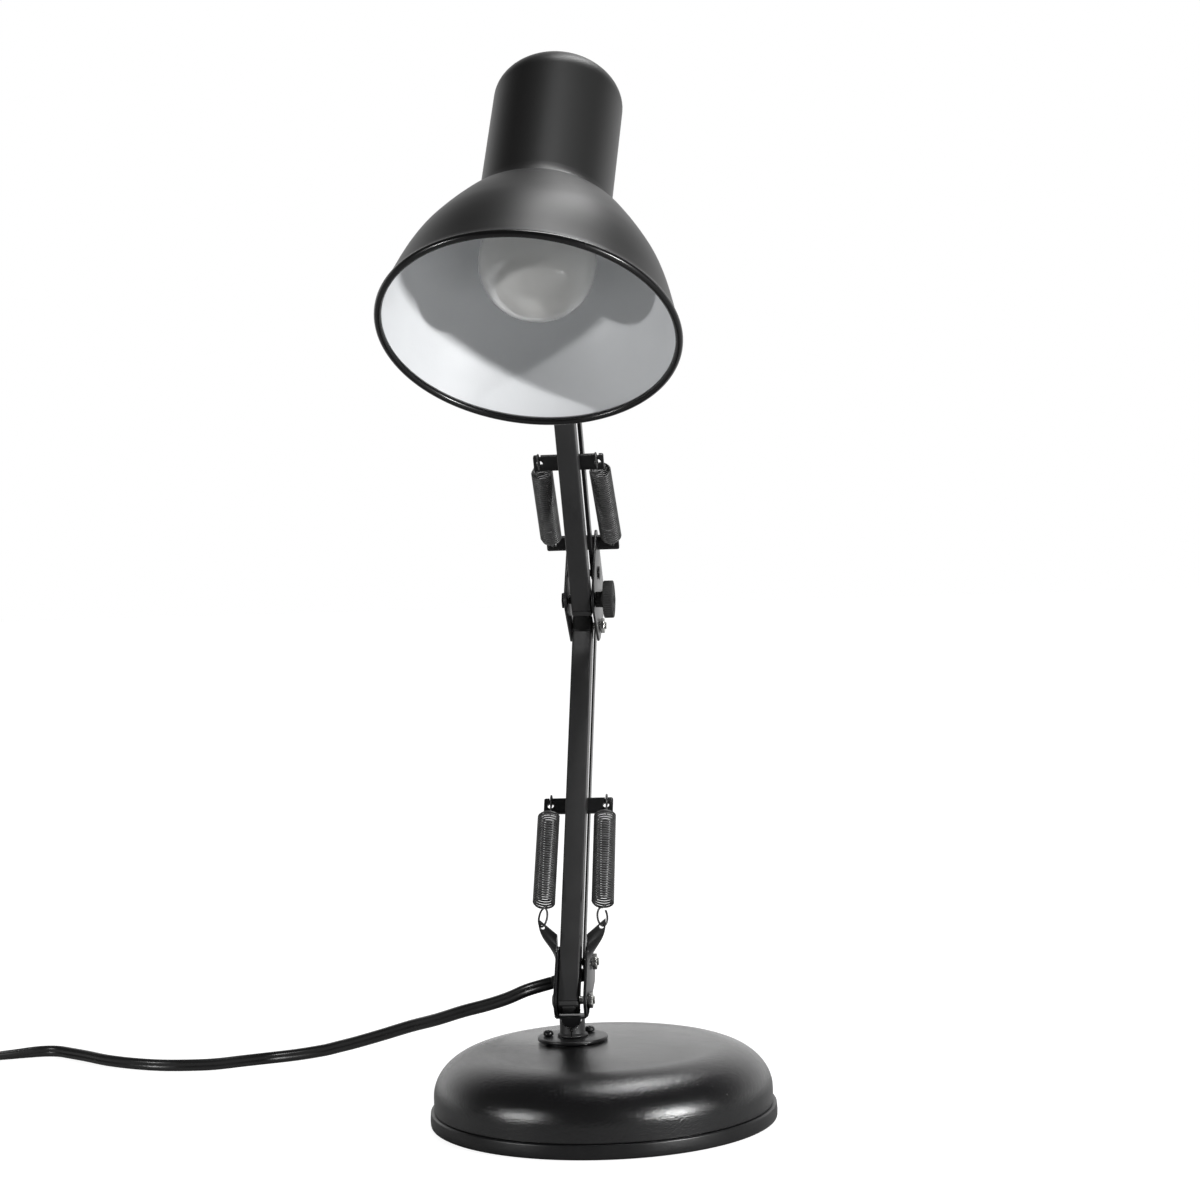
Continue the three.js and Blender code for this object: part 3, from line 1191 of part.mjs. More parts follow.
function buildRelief() {
  const tabInside = ARM_PLANE_X + PLATE_INSIDE - GAP;
  const from = new THREE.Vector3(tabInside, TAB_Y, TAB_Z);
  const to = new THREE.Vector3(RELIEF.x, RELIEF.y, RELIEF.z);
  const slant = Math.hypot(to.y - from.y, to.z - from.z) / from.distanceTo(to);
  from.x -= RELIEF.thickR * slant;
  const long = from.distanceTo(to);
  const profile = [[0, 0], [RELIEF.thickR, 0]];
  for (let k = 1; k <= RELIEF_RIBS; k += 1) {
    const share = k / (RELIEF_RIBS + 1);
    const radius = RELIEF.thickR + (RELIEF.thinR - RELIEF.thickR) * share;
    const step = long / (RELIEF_RIBS + 1) / 4;
    profile.push([radius, long * share - step], [radius - RELIEF_GROOVE, long * share],
      [radius - RELIEF_GROOVE, long * share + step / 2]);
  }
  profile.push([RELIEF.thinR, long], [0, long]);
  const relief = turned(profile, TINY);
  const turn = new THREE.Quaternion().setFromUnitVectors(
    new THREE.Vector3(0, 0, 1), to.clone().sub(from).normalize());
  relief.applyQuaternion(turn);
  relief.translate(from.x, from.y, from.z);
  addMesh(lamp, 'strain_relief', relief, FINISH.rubber);
  return to.clone().sub(from).normalize();
}

function buildCord(exitWay) {
  const coil = coilPoints();
  const [exit, ...onward] = CORD_ROUTE;
  const curve = routePoints([...onward, coil[0].toArray()], CORD_STEPS);
  const lift = curve.findIndex((p) => p.z < CORD_LANDS_Z);
  const free = [new THREE.Vector3(...exit).addScaledVector(exitWay, GAP), ...curve.slice(0, lift + 1)];
  const table = curve.slice(lift).map((p) => p.clone());
  const landing = curve[lift + 1].clone().sub(curve[lift - 1]).normalize();
  const entry = coilHeading();
  free[free.length - 1].addScaledVector(landing, -GAP / 2);
  table[0].addScaledVector(landing, GAP / 2);
  table[table.length - 1].addScaledVector(entry, -GAP);
  const section = [CORD_WIDE, CORD_THICK, CORD_SIDES, true];
  addMesh(lamp, 'cord_free', tubeAlong(free, ...section, { first: exitWay, last: landing }), FINISH.cord);
  addMesh(lamp, 'cord_table', tubeAlong(table, ...section, { first: landing, last: entry }), FINISH.cord);
  const wound = tubeAlong(coil, CORD_WIDE, CORD_THICK, COIL_SIDES, true, { first: entry });
  addMesh(lamp, 'cord_coil', wound, FINISH.cord);
  const flat = coil.map((p) => new THREE.Vector3(p.x, p.y, p.z * CORD_WIDE / CORD_THICK));
  const gap = leastSelfGap(flat, CORD_WIDE, COIL_STEPS / 2);
  const total = routeLength(free) + routeLength(table) + routeLength(coil);
  console.log(`cord_coil: least gap to itself ${gap.toFixed(2)} mm`);
  console.log(`cord: modelled length ${total.toFixed(0)} mm of ${CORD_LENGTH} mm`);
  return coil;
}

function buildTie() {
  const inner = COIL_OUT_R - COIL_PITCH * COIL_TURNS / 2 - CORD_WIDE / 2 - GAP;
  const outer = COIL_OUT_R + CORD_WIDE / 2 + GAP;
  const low = COIL_LIFT - CORD_THICK / 2 - GAP;
  const high = COIL_LIFT + COIL_LAYER + CORD_THICK / 2 + GAP;
  const band = roundedRect(outer - inner + 2 * TIE_SHEET, high - low + 2 * TIE_SHEET, TIE_SHEET * 2);
  const hole = roundedRect(outer - inner, high - low, TIE_SHEET);
  band.holes.push(new THREE.Path(hole.getPoints(2).reverse()));
  const tie = new THREE.ExtrudeGeometry(band, { depth: TIE_WIDTH, bevelEnabled: false, curveSegments: 2 });
  tie.translate(0, 0, -TIE_WIDTH / 2);
  tie.rotateX(Math.PI / 2);
  tie.translate((inner + outer) / 2, 0, (low + high) / 2);
  tie.rotateZ(radians(TIE_ANGLE));
  tie.translate(COIL_CENTRE.x, COIL_CENTRE.y, 0);
  addMesh(lamp, 'cord_tie', tie, FINISH.plastic);
}

function buildPlug(end, heading) {
  const plug = new THREE.Group();
  plug.name = 'plug';
  plug.position.set(end.x, end.y, PLUG_THICK / 2);
  plug.rotation.z = Math.atan2(heading.y, heading.x);
  lamp.add(plug);
  const shape = new THREE.Shape();
  shape.moveTo(GAP, -PLUG_BACK / 2);
  shape.lineTo(PLUG_LONG - PLUG_CORNER * 2, -PLUG_WIDE / 2);
  shape.lineTo(PLUG_LONG, -PLUG_WIDE / 2 + PLUG_CORNER);
  shape.lineTo(PLUG_LONG, PLUG_WIDE / 2 - PLUG_CORNER);
  shape.lineTo(PLUG_LONG - PLUG_CORNER * 2, PLUG_WIDE / 2);
  shape.lineTo(GAP, PLUG_BACK / 2);
  shape.closePath();
  const body = new THREE.ExtrudeGeometry(shape, { depth: PLUG_THICK, bevelEnabled: false });
  body.translate(0, 0, -PLUG_THICK / 2);
  addMesh(plug, 'plug_body', body, FINISH.plastic);
  [['left', 1], ['right', -1]].forEach(([side, sign]) => {
    const pin = rod(PIN_PLUG_R, PIN_PLUG_L, 'x', TINY);
    pin.translate(PLUG_LONG + GAP, sign * PIN_PLUG_HALF, 0);
    addMesh(plug, `plug_pin_${side}`, pin, FINISH.zinc);
  });
}

buildBase();
buildFlange();
buildSleeve();
buildYoke();
buildBolt('foot_front', FOOT_PIVOT, PLATE_INSIDE + YOKE_SHEET, false);
buildBolt('foot_rear', LOWER_LINK_PIVOT, PLATE_INSIDE + YOKE_SHEET, false);
buildArm('lower', FOOT_PIVOT, LOWER_LEAN, LOWER_REACH, LOWER_TAIL, LOWER_TOP, LOWER_BAR);
buildLink('lower_link', LOWER_LINK_PIVOT, LOWER_LEAN, LOWER_REACH);
buildElbow();
buildElbowKnob();
buildArm('upper', UPPER_PIVOT, -UPPER_LEAN, UPPER_REACH, UPPER_TAIL, UPPER_TOP, UPPER_BAR);
buildLink('upper_link', UPPER_LINK_PIVOT, -UPPER_LEAN, UPPER_REACH);
buildSprings();
buildHeadBracket();
buildSwivelBarrel();
buildTiltKnob();
buildShade();
buildStrap();
buildBulb();
buildHolder();
buildSwitch();
const coilRoute = buildCord(buildRelief());
buildTie();
const cordEnd = coilRoute[coilRoute.length - 1];
buildPlug(cordEnd, cordEnd.clone().sub(coilRoute[coilRoute.length - 2]));

export default lamp;
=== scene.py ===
"""Looks of a black desk lamp on two spring-balanced arms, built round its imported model."""

import logging
import math
from collections.abc import Sequence
from dataclasses import dataclass, field
from enum import Enum
from functools import cache

import bmesh
import bpy
from bmesh.types import BMesh
from mathutils import Matrix, Vector


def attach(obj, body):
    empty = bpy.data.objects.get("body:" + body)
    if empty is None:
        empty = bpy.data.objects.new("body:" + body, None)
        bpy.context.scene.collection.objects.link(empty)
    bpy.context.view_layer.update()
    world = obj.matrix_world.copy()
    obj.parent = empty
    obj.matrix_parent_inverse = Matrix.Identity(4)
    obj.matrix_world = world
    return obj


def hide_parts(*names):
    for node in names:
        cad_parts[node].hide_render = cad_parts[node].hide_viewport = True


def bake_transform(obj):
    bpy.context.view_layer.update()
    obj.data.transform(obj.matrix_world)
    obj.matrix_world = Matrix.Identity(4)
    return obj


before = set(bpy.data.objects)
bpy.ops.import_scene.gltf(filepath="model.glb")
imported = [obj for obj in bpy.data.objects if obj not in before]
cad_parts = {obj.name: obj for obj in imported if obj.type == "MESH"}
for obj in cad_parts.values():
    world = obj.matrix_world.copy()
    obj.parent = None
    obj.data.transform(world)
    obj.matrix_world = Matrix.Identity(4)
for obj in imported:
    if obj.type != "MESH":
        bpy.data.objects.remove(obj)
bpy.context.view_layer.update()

LOG = logging.getLogger("desk_lamp")
MM = 0.001
FULL = 2 * math.pi
HALF = math.pi
QUARTER = math.pi / 2
UNTURNED = Matrix.Identity(4)
LAID_BACK = Matrix.Rotation(QUARTER, 4, "X")
STANDING = Matrix(((1, 0, 0, 0), (0, 0, -1, 0), (0, 1, 0, 0), (0, 0, 0, 1)))

Point2 = tuple[float, float]
Point3 = tuple[float, float, float]


# ---------------------------------------------------------------- places


def shift(x: float, y: float, z: float) -> Matrix:
    """The matrix that moves a part along the axes."""
    return Matrix.Translation((x, y, z))


def move(part: BMesh, place: Matrix) -> BMesh:
    """Moves a part, and gives it back."""
    bmesh.ops.transform(part, matrix=place, verts=part.verts)
    return part


def ease(share: float) -> float:
    """A smooth step from 0 to 1, level outside them."""
    t = min(1.0, max(0.0, share))
    return t * t * (3 - 2 * t)


@dataclass(frozen=True)
class Layout:
    """Joint places and leans of the lamp, in millimetres and degrees. Pivots are (y, z)."""

    arm_x: float = -15.2
    swivel_y: float = 7.5
    lower_lean: float = 35.7
    upper_lean: float = 30.5
    lower_reach: float = 221.6
    upper_reach: float = 205.0
    foot: Point2 = (6.5, 58.0)
    link_step: Point2 = (26.5, 14.6)
    elbow_step: Point2 = (-23.3, 15.2)
    head_step: Point2 = (21.8, 13.6)
    shade_hang: Point3 = (2.92, -106.46, -65.77)
    shade_tilt: float = 35.03
    shade_yaw: float = 6.41
    swivel_ahead: float = 10.46
    web_rise: float = 11.2
    tilt_rise: float = 8.5
    bar_back: float = 6.3
    lower_bar_along: float = 115.0
    upper_bar_along: float = 81.4
    elbow_bar: Point2 = (24.4, 31.3)
    ear_hook: Point2 = (19.8, 91.6)
    plate_inside: float = 6.7
    yoke_outside: float = 8.2
    plate_outside: float = 8.0
    gap: float = 0.3

    @staticmethod
    def step(start: Point2, move: Point2) -> Point2:
        """The pivot one step on from another."""
        return (start[0] + move[0], start[1] + move[1])

    @staticmethod
    def lean(start: Point2, degrees: float, reach: float) -> Point2:
        """The pivot at the end of an arm that leans back by some degrees."""
        turn = math.radians(degrees)
        return (start[0] + reach * math.sin(turn), start[1] + reach * math.cos(turn))

    @property
    def foot_link(self) -> Point2:
        """Lower pivot of the lower rear link."""
        return self.step(self.foot, self.link_step)

    @property
    def elbow(self) -> Point2:
        """Upper pivot of the lower arm."""
        return self.lean(self.foot, self.lower_lean, self.lower_reach)

    @property
    def elbow_link(self) -> Point2:
        """Upper pivot of the lower rear link."""
        return self.step(self.elbow, self.link_step)

    @property
    def upper(self) -> Point2:
        """Lower pivot of the upper arm, where the knob clamps."""
        return self.step(self.elbow, self.elbow_step)

    @property
    def upper_link(self) -> Point2:
        """Lower pivot of the upper rear link."""
        return self.step(self.upper, self.head_step)

    @property
    def head(self) -> Point2:
        """Upper pivot of the upper arm."""
        return self.lean(self.upper, -self.upper_lean, self.upper_reach)

    @property
    def head_link(self) -> Point2:
        """Upper pivot of the upper rear link."""
        return self.step(self.head, self.head_step)

    @property
    def web_low(self) -> float:
        """Height of the head bracket's web."""
        return self.head[1] + self.web_rise

    @property
    def tilt_z(self) -> float:
        """Height of the tilt pin."""
        return self.web_low + self.tilt_rise

    @property
    def elbow_bar_place(self) -> Point2:
        """Middle of the elbow's crossbar."""
        return self.step(self.upper, self.elbow_bar)

    def bar_place(self, pivot: Point2, lean: float, along: float) -> Point2:
        """Middle of a crossbar behind an arm.

        Args:
            pivot: The arm's lower pivot.
            lean: The arm's lean backwards, in degrees.
            along: How far up the arm the crossbar sits.

        Returns:
            The crossbar's middle as (y, z).
        """
        sine, cosine = math.sin(math.radians(lean)), math.cos(math.radians(lean))
        return (
            pivot[0] + along * sine + self.bar_back * cosine,
            pivot[1] + along * cosine - self.bar_back * sine,
        )

    def arm_plane(self) -> Matrix:
        """The frame of everything in the arms' plane."""
        return shift(self.arm_x, 0, 0)

    def arm(self, pivot: Point2, lean: float) -> Matrix:
        """The frame of an arm, whose own z runs up it from its lower pivot."""
        turn = Matrix.Rotation(-math.radians(lean), 4, "X")
        return self.arm_plane() @ shift(0, *pivot) @ turn

    def head_turn(self) -> Matrix:
        """The frame that turns with the shade's swivel."""
        place = shift(0, self.head[0] - self.swivel_ahead, 0)
        return self.arm_plane() @ place @ Matrix.Rotation(-math.radians(self.shade_yaw), 4, "Z")

    def rim_offset(self) -> Vector:
        """The rim's middle from the tilt pin, in the frame of the swivel."""
        return Matrix.Rotation(math.radians(self.shade_yaw), 3, "Z") @ Vector(self.shade_hang)

    def shade_axis(self) -> Matrix:
        """The frame of the shade, whose own z runs from its rim to its crown."""
        offset = self.rim_offset()
        place = shift(offset.x, offset.y, self.tilt_z + offset.z)
        return self.head_turn() @ place @ Matrix.Rotation(-math.radians(self.shade_tilt), 4, "X")

    def tilt_in_shade(self) -> Point2:
        """The tilt pin as (y, z) in the shade's own frame."""
        offset = self.rim_offset()
        turn = math.radians(self.shade_tilt)
        back, up = -offset.y, -offset.z
        return (
            back * math.cos(turn) - up * math.sin(turn),
            back * math.sin(turn) + up * math.cos(turn),
        )


LAMP = Layout()


def sideways(from_x: float = 0.0, pivot: Point2 = (0.0, 0.0)) -> Matrix:
    """Lays a part drawn in its own xy plane into the side view, with its z towards +X.

    Args:
        from_x: Where the part's own z = 0 comes to lie.
        pivot: The (y, z) place of the part's own origin.

    Returns:
        The placing matrix.
    """
    turn = Matrix(((0, 0, 1, 0), (1, 0, 0, 0), (0, 1, 0, 0), (0, 0, 0, 1)))
    return shift(from_x, *pivot) @ turn


# ---------------------------------------------------------------- finishes


class Slot(Enum):
    """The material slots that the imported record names."""

    GLOSS_BLACK = "gloss_black"
    SATIN_BLACK = "satin_black"
    SHADE_PAINT = "shade_paint"
    DARK_TUBE = "dark_tube"
    ZINC = "zinc"
    SPRING_STEEL = "spring_steel"
    IRON = "iron"
    BLACK_PLASTIC = "black_plastic"
    CORD_BLACK = "cord_black"
    BLACK_RUBBER = "black_rubber"
    OPAL = "opal"


class Wiring:
    """Adds nodes to one node tree and feeds their inputs."""

    def __init__(self, tree: bpy.types.NodeTree) -> None:
        """Starts on a tree."""
        self.tree = tree

    def feed(self, inputs: bpy.types.NodeInputs, feeds: dict[str | int, object]) -> None:
        """Links each input to a socket, or sets its value.

        Args:
            inputs: A node's inputs.
            feeds: A socket or a value for some of them, by name or number.
        """
        for name, value in feeds.items():
            if isinstance(value, bpy.types.NodeSocket):
                self.tree.links.new(value, inputs[name])
            else:
                inputs[name].default_value = value

    def add(
        self, kind: str, feeds: dict[str | int, object], **options: object
    ) -> bpy.types.NodeOutputs:
        """Adds a node.

        Args:
            kind: Its type, without the first part that all shader nodes share.
            feeds: What its inputs get.
            **options: Its own settings.

        Returns:
            The node's outputs.
        """
        node = self.tree.nodes.new(f"ShaderNode{kind}")
        for option, value in options.items():
            setattr(node, option, value)
        self.feed(node.inputs, feeds)
        return node.outputs

    def math(self, operation: str, *feeds: object) -> bpy.types.NodeSocket:
        """The outcome of a sum with sockets or numbers."""
        return self.add("Math", dict(enumerate(feeds)), operation=operation)[0]

    def ramp(
        self, value: object, source: Point2, target: Point2, soft: bool
    ) -> bpy.types.NodeSocket:
        """A value carried from one span to another.

        Args:
            value: The socket with the value.
            source: The span that it comes from.
            target: The span that it goes to.
            soft: Whether the ramp is level at both ends.

        Returns:
            The socket with the outcome.
        """
        feeds = {"Value": value, "From Min": source[0], "From Max": source[1]}
        feeds |= {"To Min": target[0], "To Max": target[1]}
        kind = "SMOOTHSTEP" if soft else "LINEAR"
        return self.add("MapRange", feeds, interpolation_type=kind)["Result"]

    def mix(self, share: object, first: object, second: object, kind: str) -> bpy.types.NodeSocket:
        """A mix of two values of one kind.

        Args:
            share: How much of the second there is.
            first: The first value.
            second: The second value.
            kind: FLOAT or RGBA.

        Returns:
            The socket with the mix.
        """
        feeds = {"Factor": share, "A": first, "B": second}
        return self.add("Mix", feeds, data_type=kind)["Result"]


class Effects:
    """Shader effects that several finishes share, each a node group that is built once."""

    cloud_span: Point2 = (0.32, 0.68)
    grain_finer: float = 4.2
    speck_patches: float = 14.0
    speck_above: float = 0.56

    @staticmethod
    def group(
        name: str, numbers: Sequence[str], output: str
    ) -> tuple[Wiring, bpy.types.NodeOutputs, bpy.types.NodeInputs]:
        """A new node group with a Vector input, number inputs and one number output.

        Args:
            name: The group's name.
            numbers: Names of its number inputs.
            output: Name of its output.

        Returns:
            The group's wiring, what comes into it and what goes out.
        """
        tree = bpy.data.node_groups.new(name, "ShaderNodeTree")
        sockets = [("Vector", "INPUT", "NodeSocketVector")]
        sockets += [(number, "INPUT", "NodeSocketFloat") for number in numbers]
        for label, way, kind in (*sockets, (output, "OUTPUT", "NodeSocketFloat")):
            tree.interface.new_socket(name=label, in_out=way, socket_type=kind)
        given = tree.nodes.new("NodeGroupInput").outputs
        return Wiring(tree), given, tree.nodes.new("NodeGroupOutput").inputs

    @classmethod
    @cache
    def mottle(cls) -> bpy.types.NodeTree:
        """Soft cloudy patches between 0 and 1, for uneven colour and gloss."""
        wiring, given, out = cls.group("mottle", ["Scale"], "Mask")
        feeds = {"Vector": given["Vector"], "Scale": given["Scale"]}
        feeds |= {"Detail": 4.0, "Roughness": 0.55}
        clouds = wiring.add("TexNoise", feeds)["Fac"]
        wiring.feed(out, {"Mask": wiring.ramp(clouds, cls.cloud_span, (0.0, 1.0), soft=False)})
        return wiring.tree

    @classmethod
    @cache
    def peel(cls) -> bpy.types.NodeTree:
        """Height of a sprayed or moulded skin: shallow waves with finer grain on them."""
        wiring, given, out = cls.group("peel", ["Scale", "Grain"], "Height")
        place, scale = given["Vector"], given["Scale"]
        waves = wiring.add("TexNoise", {"Vector": place, "Scale": scale, "Detail": 1.5})["Fac"]
        finer = wiring.math("MULTIPLY", scale, cls.grain_finer)
        grain = wiring.add("TexNoise", {"Vector": place, "Scale": finer, "Detail": 2.0})["Fac"]
        wiring.feed(out, {"Height": wiring.math("MULTIPLY_ADD", grain, given["Grain"], waves)})
        return wiring.tree

    @classmethod
    @cache
    def specks(cls) -> bpy.types.NodeTree:
        """A few small specks of dust, as a mask between 0 and 1."""
        wiring, given, out = cls.group("specks", ["Scale", "Size"], "Mask")
        place = given["Vector"]
        cells = wiring.add("TexVoronoi", {"Vector": place, "Scale": given["Scale"]})["Distance"]
        near = wiring.math("LESS_THAN", cells, given["Size"])
        patches = wiring.add("TexNoise", {"Vector": place, "Scale": cls.speck_patches})["Fac"]
        some = wiring.math("GREATER_THAN", patches, cls.speck_above)
        wiring.feed(out, {"Mask": wiring.math("MULTIPLY", near, some)})
        return wiring.tree


@dataclass(frozen=True)
class Finish:
    """A painted, plated or moulded surface. Scales are per metre and heights in metres."""

    name: str
    colour: Point3
    deep: Point3
    roughness: Point2
    metallic: float = 0.0
    coat: float = 0.0
    coat_roughness: float = 0.1
    specular: float = 0.5
    mottle_scale: float = 30.0
    stretch: Point3 = (1.0, 1.0, 1.0)
    peel_scale: float = 900.0
    peel_grain: float = 0.3
    peel_height: float = 0.00004
    specks: float = 0.0
    transmission: float = 0.0
    ior: float = 1.5

    def material(self) -> bpy.types.Material:
        """The finish as a material, made the first time that a piece asks for it."""
        made = bpy.data.materials.get(self.name)
        if made is not None:
            return made
        made = bpy.data.materials.new(self.name)
        made.use_nodes = True
        wiring = Wiring(made.node_tree)
        place = wiring.add("TexCoord", {})["Object"]
        spot = wiring.add("Mapping", {"Vector": place, "Scale": self.stretch})["Vector"]
        feeds = {"Vector": spot, "Scale": self.mottle_scale}
        clouds = wiring.add("Group", feeds, node_tree=Effects.mottle())["Mask"]
        shown = wiring.mix(clouds, (*self.deep, 1), (*self.colour, 1), "RGBA")
        if self.specks:
            feeds = {"Vector": spot, "Scale": self.specks, "Size": SPECK_SIZE}
            dust = wiring.add("Group", feeds, node_tree=Effects.specks())["Mask"]
            shown = wiring.mix(dust, shown, SPECK_COLOUR, "RGBA")
        feeds = {"Vector": spot, "Scale": self.peel_scale, "Grain": self.peel_grain}
        height = wiring.add("Group", feeds, node_tree=Effects.peel())["Height"]
        feeds = {"Strength": 1.0, "Distance": self.peel_height, "Height": height}
        wiring.feed(made.node_tree.nodes["Principled BSDF"].inputs, {
            "Metallic": self.metallic,
            "Coat Weight": self.coat,
            "Coat Roughness": self.coat_roughness,
            "Specular IOR Level": self.specular,
            "Transmission Weight": self.transmission,
            "IOR": self.ior,
            "Base Color": shown,
            "Roughness": wiring.ramp(clouds, (0.0, 1.0), self.roughness, soft=False),
            "Normal": wiring.add("Bump", feeds)["Normal"],
        })
        return made


SPECK_SIZE = 0.045
SPECK_COLOUR = (0.22, 0.21, 0.2, 1)

BASE_PAINT = Finish(
    "base_paint", (0.006, 0.006, 0.0065), (0.0045, 0.0045, 0.005), (0.2, 0.26), specular=0.85,
    peel_scale=760, peel_grain=0.45, peel_height=0.00015, specks=260, mottle_scale=22,
)
SKIRT_PAINT = Finish(
    "skirt_paint", (0.007, 0.007, 0.0075), (0.005, 0.005, 0.0055), (0.3, 0.4),
    peel_scale=700, peel_height=0.00005, mottle_scale=40,
)
SHADE_PAINT = Finish(
    "shade_paint", (0.0035, 0.0035, 0.0039), (0.0027, 0.0027, 0.003), (0.26, 0.31), specular=0.5,
    peel_scale=1500, peel_grain=0.6, peel_height=0.000018, mottle_scale=16,
)
SHADE_RIM = Finish(
    "shade_rim", (0.005, 0.005, 0.0055), (0.004, 0.004, 0.004), (0.2, 0.28),
    peel_scale=1200, peel_height=0.00001,
)
SHADE_WHITE = Finish(
    "shade_white", (0.80, 0.815, 0.83), (0.76, 0.775, 0.79), (0.38, 0.46),
    peel_scale=1100, peel_grain=0.4, peel_height=0.00003, mottle_scale=12,
)
TUBE_PAINT = Finish(
    "tube_paint", (0.028, 0.028, 0.0285), (0.022, 0.022, 0.0225), (0.42, 0.5),
    peel_scale=1800, peel_grain=0.6, peel_height=0.00002, mottle_scale=45,
)
PLATE_PAINT = Finish(
    "plate_paint", (0.007, 0.007, 0.0075), (0.005, 0.005, 0.0055), (0.3, 0.38),
    peel_scale=1500, peel_height=0.00003, mottle_scale=60,
)
ZINC = Finish(
    "zinc_plate", (0.62, 0.62, 0.60), (0.44, 0.44, 0.43), (0.2, 0.34), metallic=1.0,
    peel_scale=2600, peel_height=0.00001, mottle_scale=260,
)
SPRING_BLACK = Finish(
    "spring_black", (0.13, 0.13, 0.13), (0.08, 0.08, 0.08), (0.38, 0.46), metallic=0.6,
    peel_scale=3000, peel_height=0.000008, mottle_scale=180,
)
IRON = Finish(
    "cast_iron", (0.05, 0.048, 0.046), (0.03, 0.028, 0.026), (0.6, 0.78), metallic=0.6,
    peel_scale=500, peel_grain=0.9, peel_height=0.0002, mottle_scale=50,
)
PLASTIC = Finish(
    "black_plastic", (0.008, 0.008, 0.0085), (0.006, 0.006, 0.006), (0.34, 0.42),
    peel_scale=1600, peel_grain=0.8, peel_height=0.00003, mottle_scale=80,
)
CORD_SKIN = Finish(
    "cord_skin", (0.013, 0.013, 0.0135), (0.010, 0.010, 0.010), (0.26, 0.34),
    peel_scale=900, peel_height=0.00003, mottle_scale=70,
)
RUBBER = Finish(
    "black_rubber", (0.014, 0.014, 0.014), (0.010, 0.010, 0.010), (0.6, 0.72),
    peel_scale=1400, peel_grain=0.9, peel_height=0.00004, mottle_scale=60,
)
BULB_GLASS = Finish(
    "pearl_glass", (0.88, 0.88, 0.86), (0.82, 0.82, 0.80), (0.2, 0.26), coat=0.9,
    coat_roughness=0.02, transmission=0.2, ior=1.45, peel_scale=400, peel_grain=0.2,
    peel_height=0.00002, mottle_scale=24,
)
NICKEL = Finish(
    "nickel_pin", (0.72, 0.70, 0.66), (0.6, 0.58, 0.54), (0.16, 0.26), metallic=1.0,
    peel_scale=3000, peel_height=0.000006, mottle_scale=200,
)


# ---------------------------------------------------------------- shaping


MOST_SOFT = 0.45
MERGED = 0.0005


def soften(
    points: Sequence[Point2], radius: float, steps: int = 3, closed: bool = False
) -> list[Point2]:
    """Rounds the corners of a line of points.

    Args:
        points: The line's corners.
        radius: How far from a corner its rounding starts.
        steps: Spans that each rounding has.
        closed: Whether the line closes on itself.

    Returns:
        The rounded line.
    """
    soft: list[Point2] = []
    count = len(points)
    for i, here in enumerate(points):
        if not closed and i in (0, count - 1):
            soft.append(here)
            continue
        corner = Vector(here)
        back = Vector(points[i - 1]) - corner
        ahead = Vector(points[(i + 1) % count]) - corner
        reach = min(radius, back.length * MOST_SOFT, ahead.length * MOST_SOFT)
        start = corner + back.normalized() * reach
        end = corner + ahead.normalized() * reach
        for k in range(steps + 1):
            t = k / steps
            spot = start * (1 - t) ** 2 + corner * 2 * t * (1 - t) + end * t * t
            soft.append((spot.x, spot.y))
    return soft


def wrap_discs(discs: Sequence[tuple[float, float, float]], step: float = 9.0) -> list[Point2]:
    """The outline that wraps a convex, counter-clockwise ring of discs.

    Args:
        discs: Each disc's x, y and radius.
        step: Degrees of turn between points of a rounded corner.

    Returns:
        The outline's points.
    """
    normals = []
    for i, (x, y, r) in enumerate(discs):
        nx, ny, nr = discs[(i + 1) % len(discs)]
        reach = math.hypot(nx - x, ny - y)
        normals.append(math.atan2(ny - y, nx - x) - QUARTER - math.asin((nr - r) / reach))
    points: list[Point2] = []
    for i, (x, y, r) in enumerate(discs):
        start, end = normals[i - 1], normals[i]
        while end < start:
            end += FULL
        spans = max(1, math.ceil((end - start) / math.radians(step)))
        for k in range(spans + 1):
            angle = start + (end - start) * k / spans
            points.append((x + r * math.cos(angle), y + r * math.sin(angle)))
    return points


def rounded_box(width: float, height: float, radius: float, steps: int = 4) -> list[Point2]:
    """The outline of a centred rectangle with rounded corners."""
    x, y = width / 2, height / 2
    return soften([(x, -y), (x, y), (-x, y), (-x, -y)], radius, steps, closed=True)


def circle(radius: float, count: int, wave: float = 0.0, waves: int = 0) -> list[Point2]:
    """The points of a circle, whose edge may have waves.

    Args:
        radius: Its radius, at the waves' crests.
        count: How many points it has.
        wave: How deep the waves are.
        waves: How many there are.

    Returns:
        The points.
    """
    points = []
    for k in range(count):
        angle = FULL * k / count
        reach = radius - wave / 2 + wave / 2 * math.cos(waves * angle)
        points.append((reach * math.cos(angle), reach * math.sin(angle)))
    return points


def lathe(profile: Sequence[Point2], steps: int = 64, closed: bool = False) -> BMesh:
    """A profile of (radius, height) spun about Z.

    Args:
        profile: The profile's points, in millimetres.
        steps: Spans round the axis.
        closed: Whether the profile closes on itself, round a bore.

    Returns:
        The spun part.
    """
    part = bmesh.new()
    verts = [part.verts.new((r, 0, z)) for r, z in profile]
    edges = [part.edges.new(pair) for pair in zip(verts, verts[1:])]
    if closed:
        edges.append(part.edges.new((verts[-1], verts[0])))
    bmesh.ops.spin(
        part, geom=verts + edges, cent=(0, 0, 0), axis=(0, 0, 1), dvec=(0, 0, 0),
        angle=FULL, steps=steps, use_merge=True, use_duplicate=False,
    )
    bmesh.ops.remove_doubles(part, verts=part.verts, dist=MERGED)
    bmesh.ops.dissolve_degenerate(part, edges=part.edges, dist=MERGED)
    bmesh.ops.recalc_face_normals(part, faces=part.faces)
    return part


